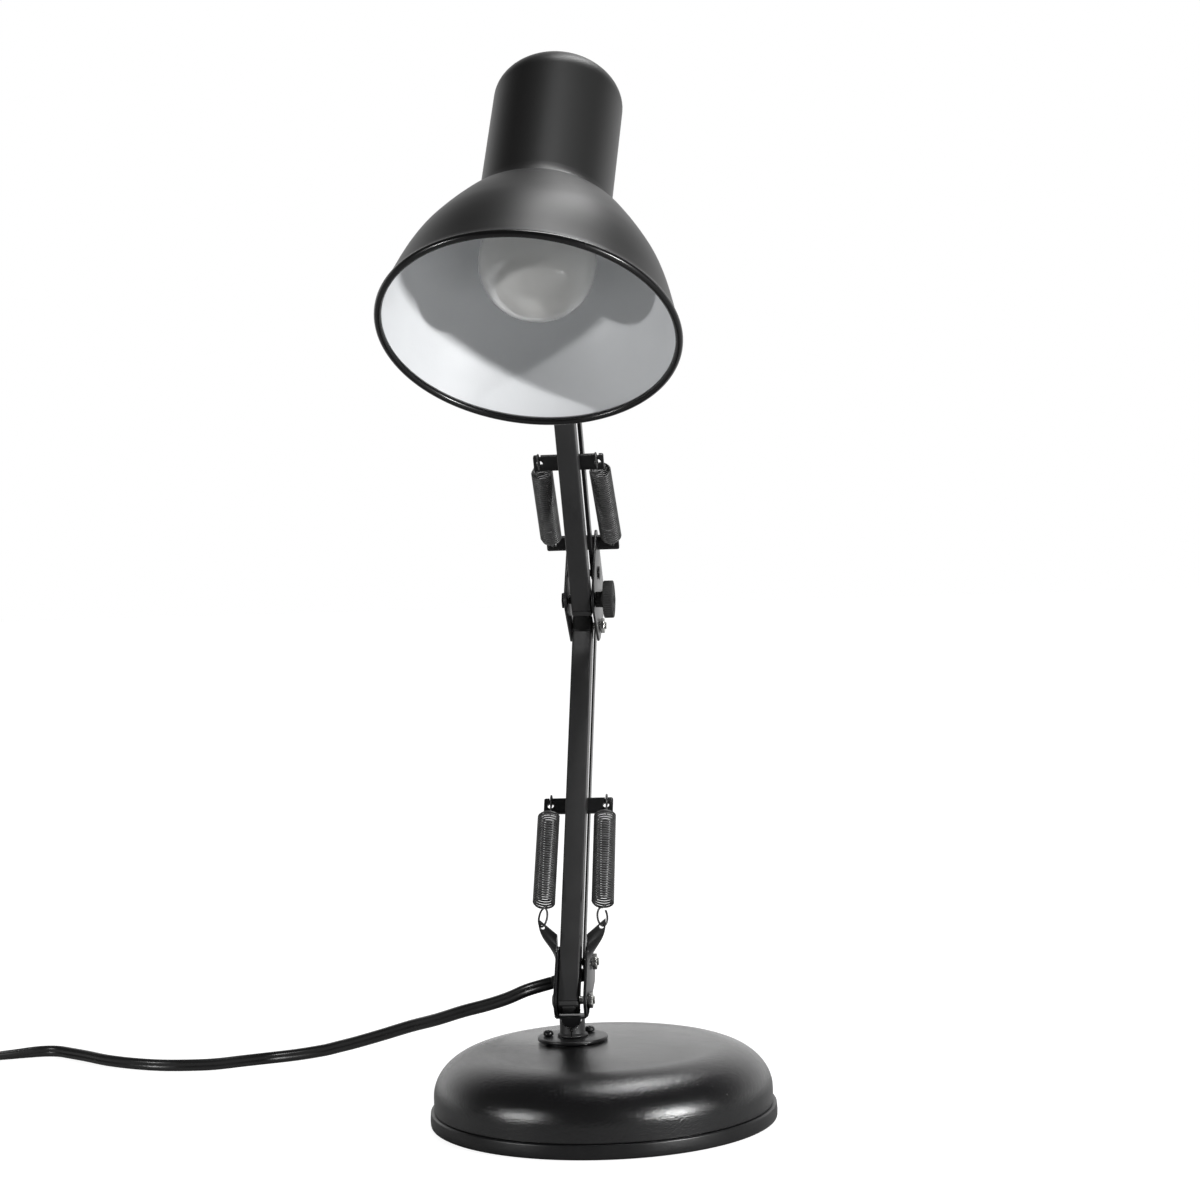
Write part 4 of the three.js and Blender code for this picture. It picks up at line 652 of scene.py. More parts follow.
def slab(
    outline: Sequence[Point2], thickness: float, edge: float = 0.2, segments: int = 2
) -> BMesh:
    """A flat plate standing on z = 0, with its outline in the xy plane and softened rims.

    Args:
        outline: The outline's points, in millimetres.
        thickness: The plate's thickness.
        edge: Width of the softened edge.
        segments: Spans across the softened edge.

    Returns:
        The plate.
    """
    part = bmesh.new()
    face = part.faces.new([part.verts.new((x, y, 0)) for x, y in outline])
    grown = bmesh.ops.extrude_face_region(part, geom=[face])["geom"]
    lifted = [g for g in grown if isinstance(g, bmesh.types.BMVert)]
    bmesh.ops.translate(part, verts=lifted, vec=(0, 0, thickness))
    bmesh.ops.recalc_face_normals(part, faces=part.faces)
    if edge:
        rims = [e for e in part.edges if abs(e.verts[0].co.z - e.verts[1].co.z) < thickness / 2]
        bmesh.ops.bevel(
            part, geom=rims, offset=edge, segments=segments, profile=0.5,
            affect="EDGES", material=-1, clamp_overlap=True,
        )
    return part


def block(size: Point3, edge: float = 0.0, segments: int = 2) -> BMesh:
    """A centred box with softened edges."""
    part = bmesh.new()
    bmesh.ops.create_cube(part, size=1)
    bmesh.ops.scale(part, vec=size, verts=part.verts)
    if edge:
        bmesh.ops.bevel(
            part, geom=part.edges[:], offset=edge, segments=segments, profile=0.5,
            affect="EDGES", material=-1, clamp_overlap=True,
        )
    return part


def tube_section(inner: float, outer: float, low: float, high: float) -> list[Point2]:
    """The section of a ring or a tube, for a closed lathe."""
    return [(inner, low), (outer, low), (outer, high), (inner, high)]


def bar(radius: float, length: float, steps: int = 32) -> BMesh:
    """A plain round bar along Z that stands on z = 0, for bores and cutters."""
    return lathe([(0, 0), (radius, 0), (radius, length), (0, length)], steps)


def sweep(section: Sequence[Point2], frames: Sequence[Matrix]) -> BMesh:
    """A section carried along a row of frames, closed at both ends.

    Args:
        section: The section's points in each frame's xy plane, in millimetres.
        frames: The frames, each with its z along the way.

    Returns:
        The swept part.
    """
    part = bmesh.new()
    verts = [part.verts.new(frames[0] @ Vector((x, y, 0))) for x, y in section]
    ring = [part.edges.new(pair) for pair in zip(verts, verts[1:] + verts[:1])]
    for before, after in zip(frames, frames[1:]):
        grown = bmesh.ops.extrude_edge_only(part, edges=ring)["geom"]
        ring = [g for g in grown if isinstance(g, bmesh.types.BMEdge) and g.is_boundary]
        moved = [g for g in grown if isinstance(g, bmesh.types.BMVert)]
        bmesh.ops.transform(part, matrix=after @ before.inverted(), verts=moved)
    bmesh.ops.holes_fill(part, edges=[e for e in part.edges if e.is_boundary], sides=0)
    bmesh.ops.recalc_face_normals(part, faces=part.faces)
    return part


def carry(points: Sequence[Vector], level: bool, first: Vector | None = None) -> list[Matrix]:
    """Frames along a line of points.

    Args:
        points: The line's points.
        level: Whether the frames' x stays level, or else turns as little as it can.
        first: The way that the line starts, where it isn't towards the second point.

    Returns:
        One frame for each point, with its z along the line.
    """
    frames = []
    side = Vector((1, 0, 0))
    for i, point in enumerate(points):
        along = points[min(i + 1, len(points) - 1)] - points[max(i - 1, 0)]
        if i == 0 and first is not None:
            along = first
        along = along.normalized()
        if level:
            side = Vector((0, 0, 1)).cross(along).normalized()
        else:
            side = (side - along * side.dot(along)).normalized()
        up = along.cross(side)
        turn = Matrix((side, up, along)).transposed().to_4x4()
        frames.append(Matrix.Translation(point) @ turn)
    return frames


def smooth_line(places: Sequence[Vector], spans: int) -> list[Vector]:
    """A centripetal curve through places.

    Args:
        places: The points that it passes.
        spans: Steps between one place and the next.

    Returns:
        The curve's points.
    """
    row = [places[0] * 2 - places[1], *places, places[-1] * 2 - places[-2]]
    line: list[Vector] = []
    for a, b, c, d in zip(row, row[1:], row[2:], row[3:]):
        t1 = (b - a).length ** 0.5
        t2 = t1 + (c - b).length ** 0.5
        t3 = t2 + (d - c).length ** 0.5
        for k in range(spans):
            t = t1 + (t2 - t1) * k / spans
            ab = a * ((t1 - t) / t1) + b * (t / t1)
            bc = b * ((t2 - t) / (t2 - t1)) + c * ((t - t1) / (t2 - t1))
            cd = c * ((t3 - t) / (t3 - t2)) + d * ((t - t2) / (t3 - t2))
            abc = ab * ((t2 - t) / t2) + bc * (t / t2)
            bcd = bc * ((t3 - t) / (t3 - t1)) + cd * ((t - t1) / (t3 - t1))
            line.append(abc * ((t2 - t) / (t2 - t1)) + bcd * ((t - t1) / (t2 - t1)))
    line.append(places[-1].copy())
    return line


def as_object(part: BMesh, name: str) -> bpy.types.Object:
    """An object in the scene that holds a part, which ends with this."""
    mesh = bpy.data.meshes.new(name)
    part.to_mesh(mesh)
    part.free()
    made = bpy.data.objects.new(name, mesh)
    bpy.context.scene.collection.objects.link(made)
    return made


def carve(part: BMesh, *cutters: BMesh) -> BMesh:
    """A part with other parts' volumes taken out of it.

    Args:
        part: The part that is cut.
        cutters: What is taken away.

    Returns:
        The part that is left.
    """
    target = as_object(part, "carved")
    tools = [as_object(cutter, "cutter") for cutter in cutters]
    for tool in tools:
        step = target.modifiers.new("carve", "BOOLEAN")
        step.operation = "DIFFERENCE"
        step.solver = "EXACT"
        step.object = tool
    ready = target.evaluated_get(bpy.context.evaluated_depsgraph_get())
    mesh = bpy.data.meshes.new_from_object(ready)
    left = bmesh.new()
    left.from_mesh(mesh)
    for gone in [target, *tools]:
        old = gone.data
        bpy.data.objects.remove(gone)
        bpy.data.meshes.remove(old)
    bpy.data.meshes.remove(mesh)
    return left


class Piece:
    """One visible piece, gathered from parts in millimetres and ended in metres."""

    def __init__(self, name: str, *finishes: Finish) -> None:
        """Starts an empty piece with its finishes, of which the first is the main one."""
        self.name = name
        self.finishes = finishes
        self.whole = bmesh.new()

    def add(self, part: BMesh, place: Matrix = UNTURNED, finish: int = 0) -> "Piece":
        """Adds a part at a place.

        Args:
            part: The part, which ends with this.
            place: Where it goes.
            finish: Which of the piece's finishes it has, if its faces don't say.

        Returns:
            The piece itself.
        """
        for face in part.faces:
            face.material_index += finish
        move(part, place)
        if place.determinant() < 0:
            bmesh.ops.reverse_faces(part, faces=part.faces)
        carrier = bpy.data.meshes.new("carrier")
        part.to_mesh(carrier)
        part.free()
        self.whole.from_mesh(carrier)
        bpy.data.meshes.remove(carrier)
        return self

    def end(self, sharp: float = 38.0) -> bpy.types.Object:
        """Ends the piece as an object, smooth but for edges sharper than some degrees."""
        bmesh.ops.scale(self.whole, vec=(MM, MM, MM), verts=self.whole.verts)
        made = as_object(self.whole, self.name)
        for finish in self.finishes:
            made.data.materials.append(finish.material())
        made.data.polygons.foreach_set("use_smooth", [True] * len(made.data.polygons))
        made.data.set_sharp_from_angle(angle=math.radians(sharp))
        return made

    def fit(self, body: str, slot: Slot, *nodes: str) -> bpy.types.Object:
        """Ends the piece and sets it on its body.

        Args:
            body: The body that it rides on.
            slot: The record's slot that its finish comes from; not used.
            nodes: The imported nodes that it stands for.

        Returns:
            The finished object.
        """
        made = self.end()
        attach(made, body)
        if nodes:
            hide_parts(*nodes)
        LOG.info("piece %s rides on %s", self.name, body)
        return made


def dress_node(name: str, finish: Finish) -> None:
    """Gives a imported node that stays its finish."""
    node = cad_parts[name]
    node.data.materials.clear()
    node.data.materials.append(finish.material())
    LOG.info("node %s keeps its shape", name)


def hex_outline(across: float) -> list[Point2]:
    """The six corners of a hexagon of that width across its flats."""
    return circle(across / math.sqrt(3), 6)


def nut(across: float, height: float) -> BMesh:
    """A hexagon nut standing on z = 0, its corners eased."""
    return slab(hex_outline(across), height, edge=0.4, segments=3)


# ---------------------------------------------------------------- camera and studio


@dataclass
class PhotoCamera:
    """The photograph's camera, in degrees and millimetres, over a square frame of pixels."""

    focal: float = 2700.0
    frame_size: float = 1200.0
    turn: float = 5.4
    pitch: float = 2.3
    roll: float = 1.83
    away: float = 1340.0
    base_at: Point2 = (604.3, 1118.3)
    sensor: float = 36.0

    def place(self) -> Matrix:
        """The camera's place in metres."""
        turn, pitch, roll = (math.radians(a) for a in (self.turn, self.pitch, self.roll))
        right = Vector((math.cos(turn), math.sin(turn), 0))
        ahead = Vector((-math.sin(turn), math.cos(turn), 0))
        up = Vector((0, 0, 1))
        gaze = ahead * math.cos(pitch) - up * math.sin(pitch)
        crown = ahead * math.sin(pitch) + up * math.cos(pitch)
        x_axis = right * math.cos(roll) - crown * math.sin(roll)
        y_axis = crown * math.cos(roll) + right * math.sin(roll)
        middle = self.frame_size / 2
        across = (self.base_at[0] - middle) / self.focal * self.away
        down = (self.base_at[1] - middle) / self.focal * self.away
        spot = -(x_axis * across - y_axis * down + gaze * self.away)
        turned = Matrix((x_axis, y_axis, -gaze)).transposed().to_4x4()
        return Matrix.Translation(spot * MM) @ turned

    def build(self) -> bpy.types.Object:
        """Makes the camera and gives it to the scene."""
        data = bpy.data.cameras.new("photo_camera")
        data.sensor_width = self.sensor
        data.lens = self.sensor * self.focal / self.frame_size
        data.clip_start, data.clip_end = 0.05, 20
        made = bpy.data.objects.new("photo_camera", data)
        bpy.context.scene.collection.objects.link(made)
        made.matrix_world = self.place()
        bpy.context.scene.camera = made
        return made


@dataclass(frozen=True)
class Softbox:
    """A soft rectangular lamp that faces a point, in metres and watts."""

    name: str
    place: Point3
    aim: Point3
    size: Point2
    power: float

    def build(self) -> None:
        """Makes the lamp."""
        data = bpy.data.lights.new(self.name, "AREA")
        data.shape = "RECTANGLE"
        data.size, data.size_y = self.size
        data.energy = self.power
        made = bpy.data.objects.new(self.name, data)
        bpy.context.scene.collection.objects.link(made)
        gaze = Vector(self.aim) - Vector(self.place)
        turn = gaze.to_track_quat("-Z", "Y").to_matrix().to_4x4()
        made.matrix_world = shift(*self.place) @ turn


@dataclass
class Studio:
    """A pale floor and a white backdrop, with plain soft light from both sides and above."""

    floor_half: float = 6.0
    floor_colour: float = 0.42
    floor_glow: float = 0.9
    glow_from: float = -0.1
    glow_to: float = 0.9
    far_from: float = 0.4
    far_to: float = 1.6
    room: float = 0.5
    front: float = 0.07
    overhead_share: float = 0.75
    dark_below: float = -0.1
    white_above: float = 0.6
    boxes: tuple[Softbox, ...] = (
        Softbox("right_box", (1.18, -0.86, 0.45), (0, -0.05, 0.25), (0.055, 0.07), 18.5),
        Softbox("left_box", (-1.24, -0.96, 0.41), (0, -0.05, 0.25), (0.055, 0.07), 6.6),
        Softbox("top_box", (0.2, 0.34, 1.42), (0.0, 0.0, 0.3), (0.22, 0.8), 8.0),
    )

    def build(self) -> None:
        """Makes the floor, the world and the lamps."""
        self.build_floor()
        self.build_world()
        for box in self.boxes:
            box.build()

    def build_floor(self) -> None:
        """A pale floor that runs white into the backdrop but keeps the lamp's shadow."""
        part = bmesh.new()
        bmesh.ops.create_grid(part, x_segments=8, y_segments=8, size=self.floor_half)
        move(part, shift(0, 0, -0.0003))
        floor = as_object(part, "floor")
        paint = bpy.data.materials.new("floor_paint")
        paint.use_nodes = True
        wiring = Wiring(paint.node_tree)
        place = wiring.add("TexCoord", {})["Object"]
        back = wiring.add("SeparateXYZ", {"Vector": place})["Y"]
        rays = wiring.add("LightPath", {})
        near, far = (self.glow_from, self.glow_to), (self.far_from, self.far_to)
        behind = wiring.ramp(back, near, (0.0, self.floor_glow), soft=True)
        mirrored = wiring.math("MULTIPLY", self.shown(wiring, rays), behind)
        seen = wiring.ramp(back, far, (self.floor_glow, 1.0), soft=True)
        wiring.feed(paint.node_tree.nodes["Principled BSDF"].inputs, {
            "Base Color": (self.floor_colour, self.floor_colour, self.floor_colour, 1),
            "Roughness": 0.8,
            "Emission Color": (1, 1, 1, 1),
            "Emission Strength": wiring.mix(rays["Is Camera Ray"], mirrored, seen, "FLOAT"),
        })
        floor.data.materials.append(paint)

    @staticmethod
    def shown(wiring: Wiring, rays: bpy.types.NodeOutputs) -> bpy.types.NodeSocket:
        """A mask of the rays that see the backdrop: camera, glossy and transmitted ones."""
        first = wiring.math("MAXIMUM", rays["Is Camera Ray"], rays["Is Glossy Ray"])
        return wiring.math("MAXIMUM", first, rays["Is Transmission Ray"])

    def build_world(self) -> None:
        """A white backdrop behind, with a dim room overhead and in front."""
        world = bpy.data.worlds.new("studio")
        bpy.context.scene.world = world
        world.use_nodes = True
        wiring = Wiring(world.node_tree)
        place = wiring.add("TexCoord", {})["Generated"]
        parts = wiring.add("SeparateXYZ", {"Vector": place})
        height = wiring.math("ABSOLUTE", parts["Z"])
        facing = wiring.math("MULTIPLY_ADD", height, -self.overhead_share, parts["Y"])
        span = (self.dark_below, self.white_above)
        fade = wiring.ramp(facing, span, (self.front, 1.0), soft=True)
        lit = wiring.math("MULTIPLY", fade, self.room)
        rays = wiring.add("LightPath", {})
        mirrored = wiring.mix(self.shown(wiring, rays), lit, fade, "FLOAT")
        wiring.feed(world.node_tree.nodes["Background"].inputs, {
            "Color": (1, 1, 1, 1),
            "Strength": wiring.mix(rays["Is Camera Ray"], mirrored, 1.0, "FLOAT"),
        })


# ---------------------------------------------------------------- cord


@dataclass
class MainsCord:
    """Flat twin cord with its relief, tie and plug, in millimetres."""

    width: float = 6.5
    thick: float = 4.0
    edge_rise: float = 1.15
    low_from: float = 12.0
    low_over: float = 9.0
    flat_from: float = -318.0
    flat_to: float = -385.0
    length: float = 1800.0
    route: tuple[Point3, ...] = (
        (-28.6, 41, 60.6), (-32.5, 40.8, 59.6), (-42, 43, 56.6), (-53, 48.5, 51.4), (-65, 55, 46.8),
        (-77.8, 62, 42.6), (-94, 73, 36.2), (-109.9, 85, 30.5), (-126.5, 95.3, 24.2),
        (-143.1, 105, 18.2), (-155, 112.2, 14.2), (-165.7, 118, 10.8), (-181.5, 124.2, 6.9),
        (-197.6, 128, 4.2), (-212, 126.5, 2.9), (-226.4, 122.1, 2.3), (-241.5, 120.2, 2.3),
        (-255.9, 121.1, 2.3), (-273, 126.6, 2.3), (-290.4, 136, 2.3), (-304, 146.8, 2.3),
        (-316.8, 156.1, 2.3), (-326.4, 162.2, 2.3), (-335.8, 163.3, 2.3), (-349.3, 157.9, 2.4),
        (-361, 151.6, 2.7),
    )
    spans: int = 4
    blend_end: Point3 = (-197.6, 128.0, 4.2)
    coil_centre: Point2 = (-416.5, 172.6)
    coil_turns: int = 6
    coil_steps: int = 48
    coil_out: float = 45.0
    coil_pitch: float = 6.8
    coil_lift: float = 3.0
    coil_layer: float = 4.7
    coil_climb: float = 0.5
    coil_start: float = -61.0
    tail_hold: float = 30.0
    tail_drop: float = 34.0
    tail_end: float = 14.0
    tail_step: float = 5.2
    tie_turn: float = 70.0
    tie_width: float = 8.0
    tie_sheet: float = 0.6
    tie_tongue: float = 9.0
    plug_long: float = 34.0
    plug_wide: float = 33.0
    plug_back: float = 14.0
    plug_thick: float = 13.0
    pin_radius: float = 2.0
    pin_long: float = 19.0
    pin_half: float = 9.2
    relief_from: Point3 = (-8.8, 42.0, 65.5)
    relief_thick: float = 3.7
    relief_thin: float = 3.3
    relief_ribs: int = 5
    relief_groove: float = 0.7

    def section(self) -> list[Point2]:
        """The twin section: two round cores side by side under one skin."""
        radius = self.thick / 2
        half = self.width / 2 - radius
        waist = math.acos(-half / radius)
        lobe = [waist * (2 * k / 8 - 1) for k in range(9)]
        right = [(half + radius * math.cos(a), radius * math.sin(a)) for a in lobe[:-1]]
        left = [(-x, -y) for x, y in right]
        return right + left

    def heading(self) -> Vector:
        """The way that the cord enters and leaves the coil."""
        start = math.radians(self.coil_start)
        return Vector((math.sin(start), -math.cos(start), 0))

    def coil(self) -> list[Vector]:
        """The coil, wound in and out again a layer higher, and its tail."""
        points = []
        half = self.coil_turns / 2
        for k in range(self.coil_turns * self.coil_steps + 1):
            turn = k / self.coil_steps
            depth = turn if turn <= half else self.coil_turns - turn
            radius = self.coil_out - self.coil_pitch * depth
            rise = ease((turn - half) / self.coil_climb + 0.5)
            angle = math.radians(self.coil_start) - FULL * turn
            x = self.coil_centre[0] + radius * math.cos(angle)
            y = self.coil_centre[1] + radius * math.sin(angle)
            points.append(Vector((x, y, self.coil_lift + self.coil_layer * rise)))
        last = points[-1].copy()
        reach = 0.0
        tail = self.tail_hold + self.tail_drop + self.tail_end
        while reach < tail - 0.5:
            reach = min(reach + self.tail_step, tail)
            sink = ease((reach - self.tail_hold) / self.tail_drop)
            spot = last + self.heading() * reach
            spot.z = last.z + (self.plug_thick / 2 - last.z) * sink
            points.append(spot)
        return points

    def build(self) -> bpy.types.Object:
        """Makes the cord, its tie, its plug and its relief."""
        places = [Vector(p) for p in self.route]
        coil = self.coil()
        exit_way = (places[0] - Vector(self.relief_from)).normalized()
        line = smooth_line([*places, coil[0]], self.spans)[:-1] + coil
        for k in range(len(line) - len(coil)):
            low = min(1.0, max(0.0, (self.low_from - line[k].z) / self.low_over))
            line[k].z += self.edge_rise * self.on_edge(line[k].x) * low
        frames = carry(line, level=True, first=exit_way)
        for k in range(len(line) - len(coil)):
            frames[k] = frames[k] @ Matrix.Rotation(QUARTER * self.on_edge(line[k].x), 4, "Z")
        made = Piece("mains_cord", CORD_SKIN)
        made.add(sweep(self.section(), frames))
        cord = made.end()
        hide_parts("cord_free", "cord_table", "cord_coil")
        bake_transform(cord)
        tie = self.build_tie()
        pieces = self.build_plug(line[-1], self.heading())
        self.build_relief()
        LOG.info("piece mains_cord bends between foot and base")
        return cord

    def on_edge(self, x: float) -> float:
        """How far the cord stands on its edge at a place along x, where 1 is upright."""
        return ease((x - self.flat_to) / (self.flat_from - self.flat_to))

    def build_relief(self) -> None:
        """The ribbed relief that tapers from the yoke's tab onto the cord."""
        start, end = Vector(self.relief_from), Vector(self.route[0])
        long = (end - start).length
        thick, thin = self.relief_thick, self.relief_thin
        profile = [(0.0, 0.0), (thick, 0.0), (thick, 1.4)]
        for k in range(1, self.relief_ribs + 1):
            share = k / (self.relief_ribs + 1)
            radius = thick + (thin - thick) * share
            deep = radius - self.relief_groove
            rib = long / (self.relief_ribs + 1) / 4
            at = long * share
            profile += [(radius, at - rib), (deep, at - rib / 2)]
            profile += [(deep, at + rib / 2), (radius, at + rib)]
        profile += [(thin, long - 0.4), (thin - 1.0, long), (0.0, long)]
        turn = (end - start).to_track_quat("Z", "Y").to_matrix().to_4x4()
        made = Piece("cord_relief", RUBBER)
        made.add(lathe(soften(profile, 0.3, 2), 40), Matrix.Translation(start) @ turn)
        made.fit("foot", Slot.BLACK_RUBBER, "strain_relief")

    def build_tie(self) -> bpy.types.Object:
        """The band that holds the coil, with its overlapping tongue."""
        gap = LAMP.gap
        inner = self.coil_out - self.coil_pitch * self.coil_turns / 2 - self.width / 2 - gap
        outer = self.coil_out + self.width / 2 + gap
        low = self.coil_lift - self.thick / 2 - gap
        high = self.coil_lift + self.coil_layer + self.thick / 2 + gap
        sheet = self.tie_sheet
        way = rounded_box(outer - inner + sheet, high - low + sheet, 2.6, 6)
        place = (
            shift(*self.coil_centre, 0)
            @ Matrix.Rotation(math.radians(self.tie_turn), 4, "Z")
            @ shift((inner + outer) / 2, 0, (low + high) / 2)
        )
        made = Piece("coil_tie", PLASTIC)
        made.add(self.tie_band(way), place)
        tongue = block((self.tie_tongue, self.tie_width, sheet), 0.2)
        made.add(tongue, place @ shift(0, 0, (high - low) / 2 + sheet * 1.5))
        return made.fit("base", Slot.BLACK_PLASTIC, "cord_tie")

    def tie_band(self, way: Sequence[Point2]) -> BMesh:
        """The tie's closed band.

        Args:
            way: The middle line of the band, in the band's own side view.

        Returns:
            The band, with its width along y.
        """
        part = bmesh.new()
        half = self.tie_width / 2
        face_loop = [part.verts.new((x, -half, y)) for x, y in way]
        ring = [part.edges.new(pair) for pair in zip(face_loop, face_loop[1:] + face_loop[:1])]
        grown = bmesh.ops.extrude_edge_only(part, edges=ring)["geom"]
        moved = [g for g in grown if isinstance(g, bmesh.types.BMVert)]
        bmesh.ops.translate(part, verts=moved, vec=(0, self.tie_width, 0))
        bmesh.ops.recalc_face_normals(part, faces=part.faces)
        bmesh.ops.solidify(part, geom=part.faces[:], thickness=self.tie_sheet)
        bmesh.ops.recalc_face_normals(part, faces=part.faces)
        return part

    def build_plug(self, end: Vector, heading: Vector) -> list[bpy.types.Object]:
        """The moulded two-pin plug.

        Args:
            end: Where the cord ends.
            heading: The way that it points there.

        Returns:
            The plug's body and its two pins.
        """
        place = shift(end.x, end.y, self.plug_thick / 2) @ Matrix.Rotation(
            math.atan2(heading.y, heading.x), 4, "Z"
        )
        half, back, long = self.plug_wide / 2, self.plug_back / 2, self.plug_long
        right = [(0.3, -back), (long * 0.6, -half), (long, -half)]
        outline = right + [(x, -y) for x, y in right[::-1]]
        body = slab(soften(outline, 5.5, 6, closed=True), self.plug_thick, edge=2.2, segments=4)
        made = Piece("plug_shell", PLASTIC)
        made.add(body, place @ shift(0, 0, -self.plug_thick / 2))
        for k in range(4):
            rib = block((1.1, self.plug_back + 2.0 + 3.6 * k, self.plug_thick + 0.5), 0.5)
            made.add(rib, place @ shift(5.0 + 3.2 * k, 0, 0))
        face = block((1.6, self.plug_wide * 0.72, self.plug_thick * 0.66), 0.7)
        made.add(face, place @ shift(long - 0.6, 0, 0))
        pieces = [made.fit("base", Slot.BLACK_PLASTIC, "plug_body")]
        radius, tip = self.pin_radius, self.pin_long
        for side, sign in (("left", 1), ("right", -1)):
            metal = [(0.0, 0.0), (radius - 0.25, 0.0), (radius - 0.25, 9.0), (radius, 9.0)]
            metal += [(radius, tip - 1.6), (radius - 1.0, tip), (0.0, tip)]
            sleeve = [(radius - 0.3, 0.0), (radius, 0.0), (radius, 9.2), (radius - 0.3, 9.2)]
            root = shift(long + 0.3, sign * self.pin_half, 0)
            turn = place @ root @ Matrix.Rotation(QUARTER, 4, "Y")
            pin = Piece(f"plug_pin_{side}_metal", NICKEL, PLASTIC)
            pin.add(lathe(metal, 28), turn)
            pin.add(lathe(sleeve, 28, closed=True), turn, finish=1)
            pieces.append(pin.fit("base", Slot.ZINC, f"plug_pin_{side}"))
        return pieces


# ---------------------------------------------------------------- base


@dataclass
class Base:
    """Weighted round base: a domed steel shell on a skirt ring, in millimetres."""

    ring_r: float = 86.0
    ring_in: float = 78.0
    ring_low: float = 0.3
    ring_high: float = 7.5
    dome_r: float = 84.0
    side_top: float = 14.5
    shoulder_r: float = 56.0
    shoulder_z: float = 36.3
    crown_r: float = 37.0
    crown_z: float = 38.0
    wall: float = 1.5
    steps: int = 160

    def build(self) -> None:
        """Makes the ring and the dome, and dresses what stays inside."""
        ring = [
            (self.ring_in, self.ring_low), (self.ring_r - 0.2, self.ring_low), (self.ring_r, 3.0),
            (self.ring_r - 0.3, self.ring_high), (self.ring_in, self.ring_high),
        ]
        skirt = Piece("base_skirt", SKIRT_PAINT)
        skirt.add(lathe(soften(ring, 0.9, 4, closed=True), self.steps, closed=True))
        skirt.fit("base", Slot.GLOSS_BLACK, "base_ring")
        shell = Piece("base_shell", BASE_PAINT)
        shell.add(lathe(self.dome(), self.steps))
        shell.fit("base", Slot.GLOSS_BLACK, "base_dome")
        dress_node("base_weight", IRON)
        dress_node("bottom_plate", PLATE_PAINT)
        dress_node("base_pad", RUBBER)
        dress_node("swivel_spigot", ZINC)

    def arc(self, inset: float, count: int) -> list[Point2]:
        """The shoulder's quarter from the side to the crown.

        Args:
            inset: How far inside the outer skin it lies.
            count: Spans along it.

        Returns:
            Points from the foot of the side to the crown's edge.
        """
        wide = self.dome_r - self.shoulder_r - inset
        tall = self.shoulder_z - self.side_top - inset
        points = [(self.dome_r - inset, self.ring_high + 0.3)]
        for k in range(count + 1):
            angle = QUARTER * k / count
            radius = self.shoulder_r + wide * math.cos(angle)
            points.append((radius, self.side_top + tall * math.sin(angle)))
        return points

    def dome(self) -> list[Point2]:
        """The shell's whole profile, outer skin first."""
        crown_in = self.crown_z - self.wall
        outer = self.arc(0.0, 18)
        top = []
        for k in range(1, 9):
            share = k / 8
            radius = self.shoulder_r * (1 - share)
            drop = (self.crown_z - self.shoulder_z) * (1 - share) ** 2.2
            top.append((radius, self.crown_z - drop))
        inner = self.arc(self.wall, 8)[::-1]
        crown = [(0.0, self.crown_z), (0.0, crown_in), (self.crown_r, crown_in - 0.4)]
        return [*outer, *top[:-1], *crown, *inner, outer[0]]


@dataclass
class Flange:
    """Round flange under the arm, with its two screws, in millimetres."""

    radius: float = 17.5
    low: float = 38.3
    height: float = 1.8
    bore: float = 5.35
    screw_circle: float = 12.2
    screw_turns: tuple[float, ...] = (180.0, 52.0)
    head_r: float = 2.6
    head_h: float = 2.4
    shank_r: float = 1.5
    shank_long: float = 7.2
    slot_turn: float = 0.3
    slot_wide: float = 0.55
    slot_deep: float = 1.0

    def build(self) -> None:
        """Makes the flange and its screws."""
        place = shift(LAMP.arm_x, LAMP.swivel_y, 0)
        high = self.low + self.height
        profile = tube_section(self.bore, self.radius, self.low, high)
        disc = Piece("swivel_disc", PLATE_PAINT)
        disc.add(lathe(soften(profile, 0.6, 3, closed=True), 96, closed=True), place)
        disc.fit("base", Slot.SATIN_BLACK, "swivel_flange")
        seat = high + LAMP.gap
        for number, turn in enumerate(self.screw_turns, start=1):
            angle = math.radians(turn)
            x = self.screw_circle * math.cos(angle)
            y = self.screw_circle * math.sin(angle)
            screw = Piece(f"disc_screw_{number}", PLATE_PAINT)
            screw.add(self.screw(seat), place @ shift(x, y, 0))
            screw.fit("base", Slot.SATIN_BLACK, f"flange_screw_{number}")

    def screw(self, seat: float) -> BMesh:
        """A pan-head screw with a cross recess, its head on a seat's height."""
        top = seat + self.head_h
        tip = seat - self.shank_long
        profile = [(0.0, tip), (self.shank_r, tip), (self.shank_r, seat), (self.head_r, seat)]
        profile += [(self.head_r, top - 0.9), (self.head_r * 0.7, top), (0.0, top)]
        body = lathe(soften(profile, 0.5, 3), 32)
        slots = []
        for turn in (self.slot_turn, self.slot_turn + QUARTER):
            slot = block((self.head_r * 1.3, self.slot_wide, 2 * self.slot_deep))
            slots.append(move(slot, shift(0, 0, top) @ Matrix.Rotation(turn, 4, "Z")))
        return carve(body, *slots)


# ---------------------------------------------------------------- bolts


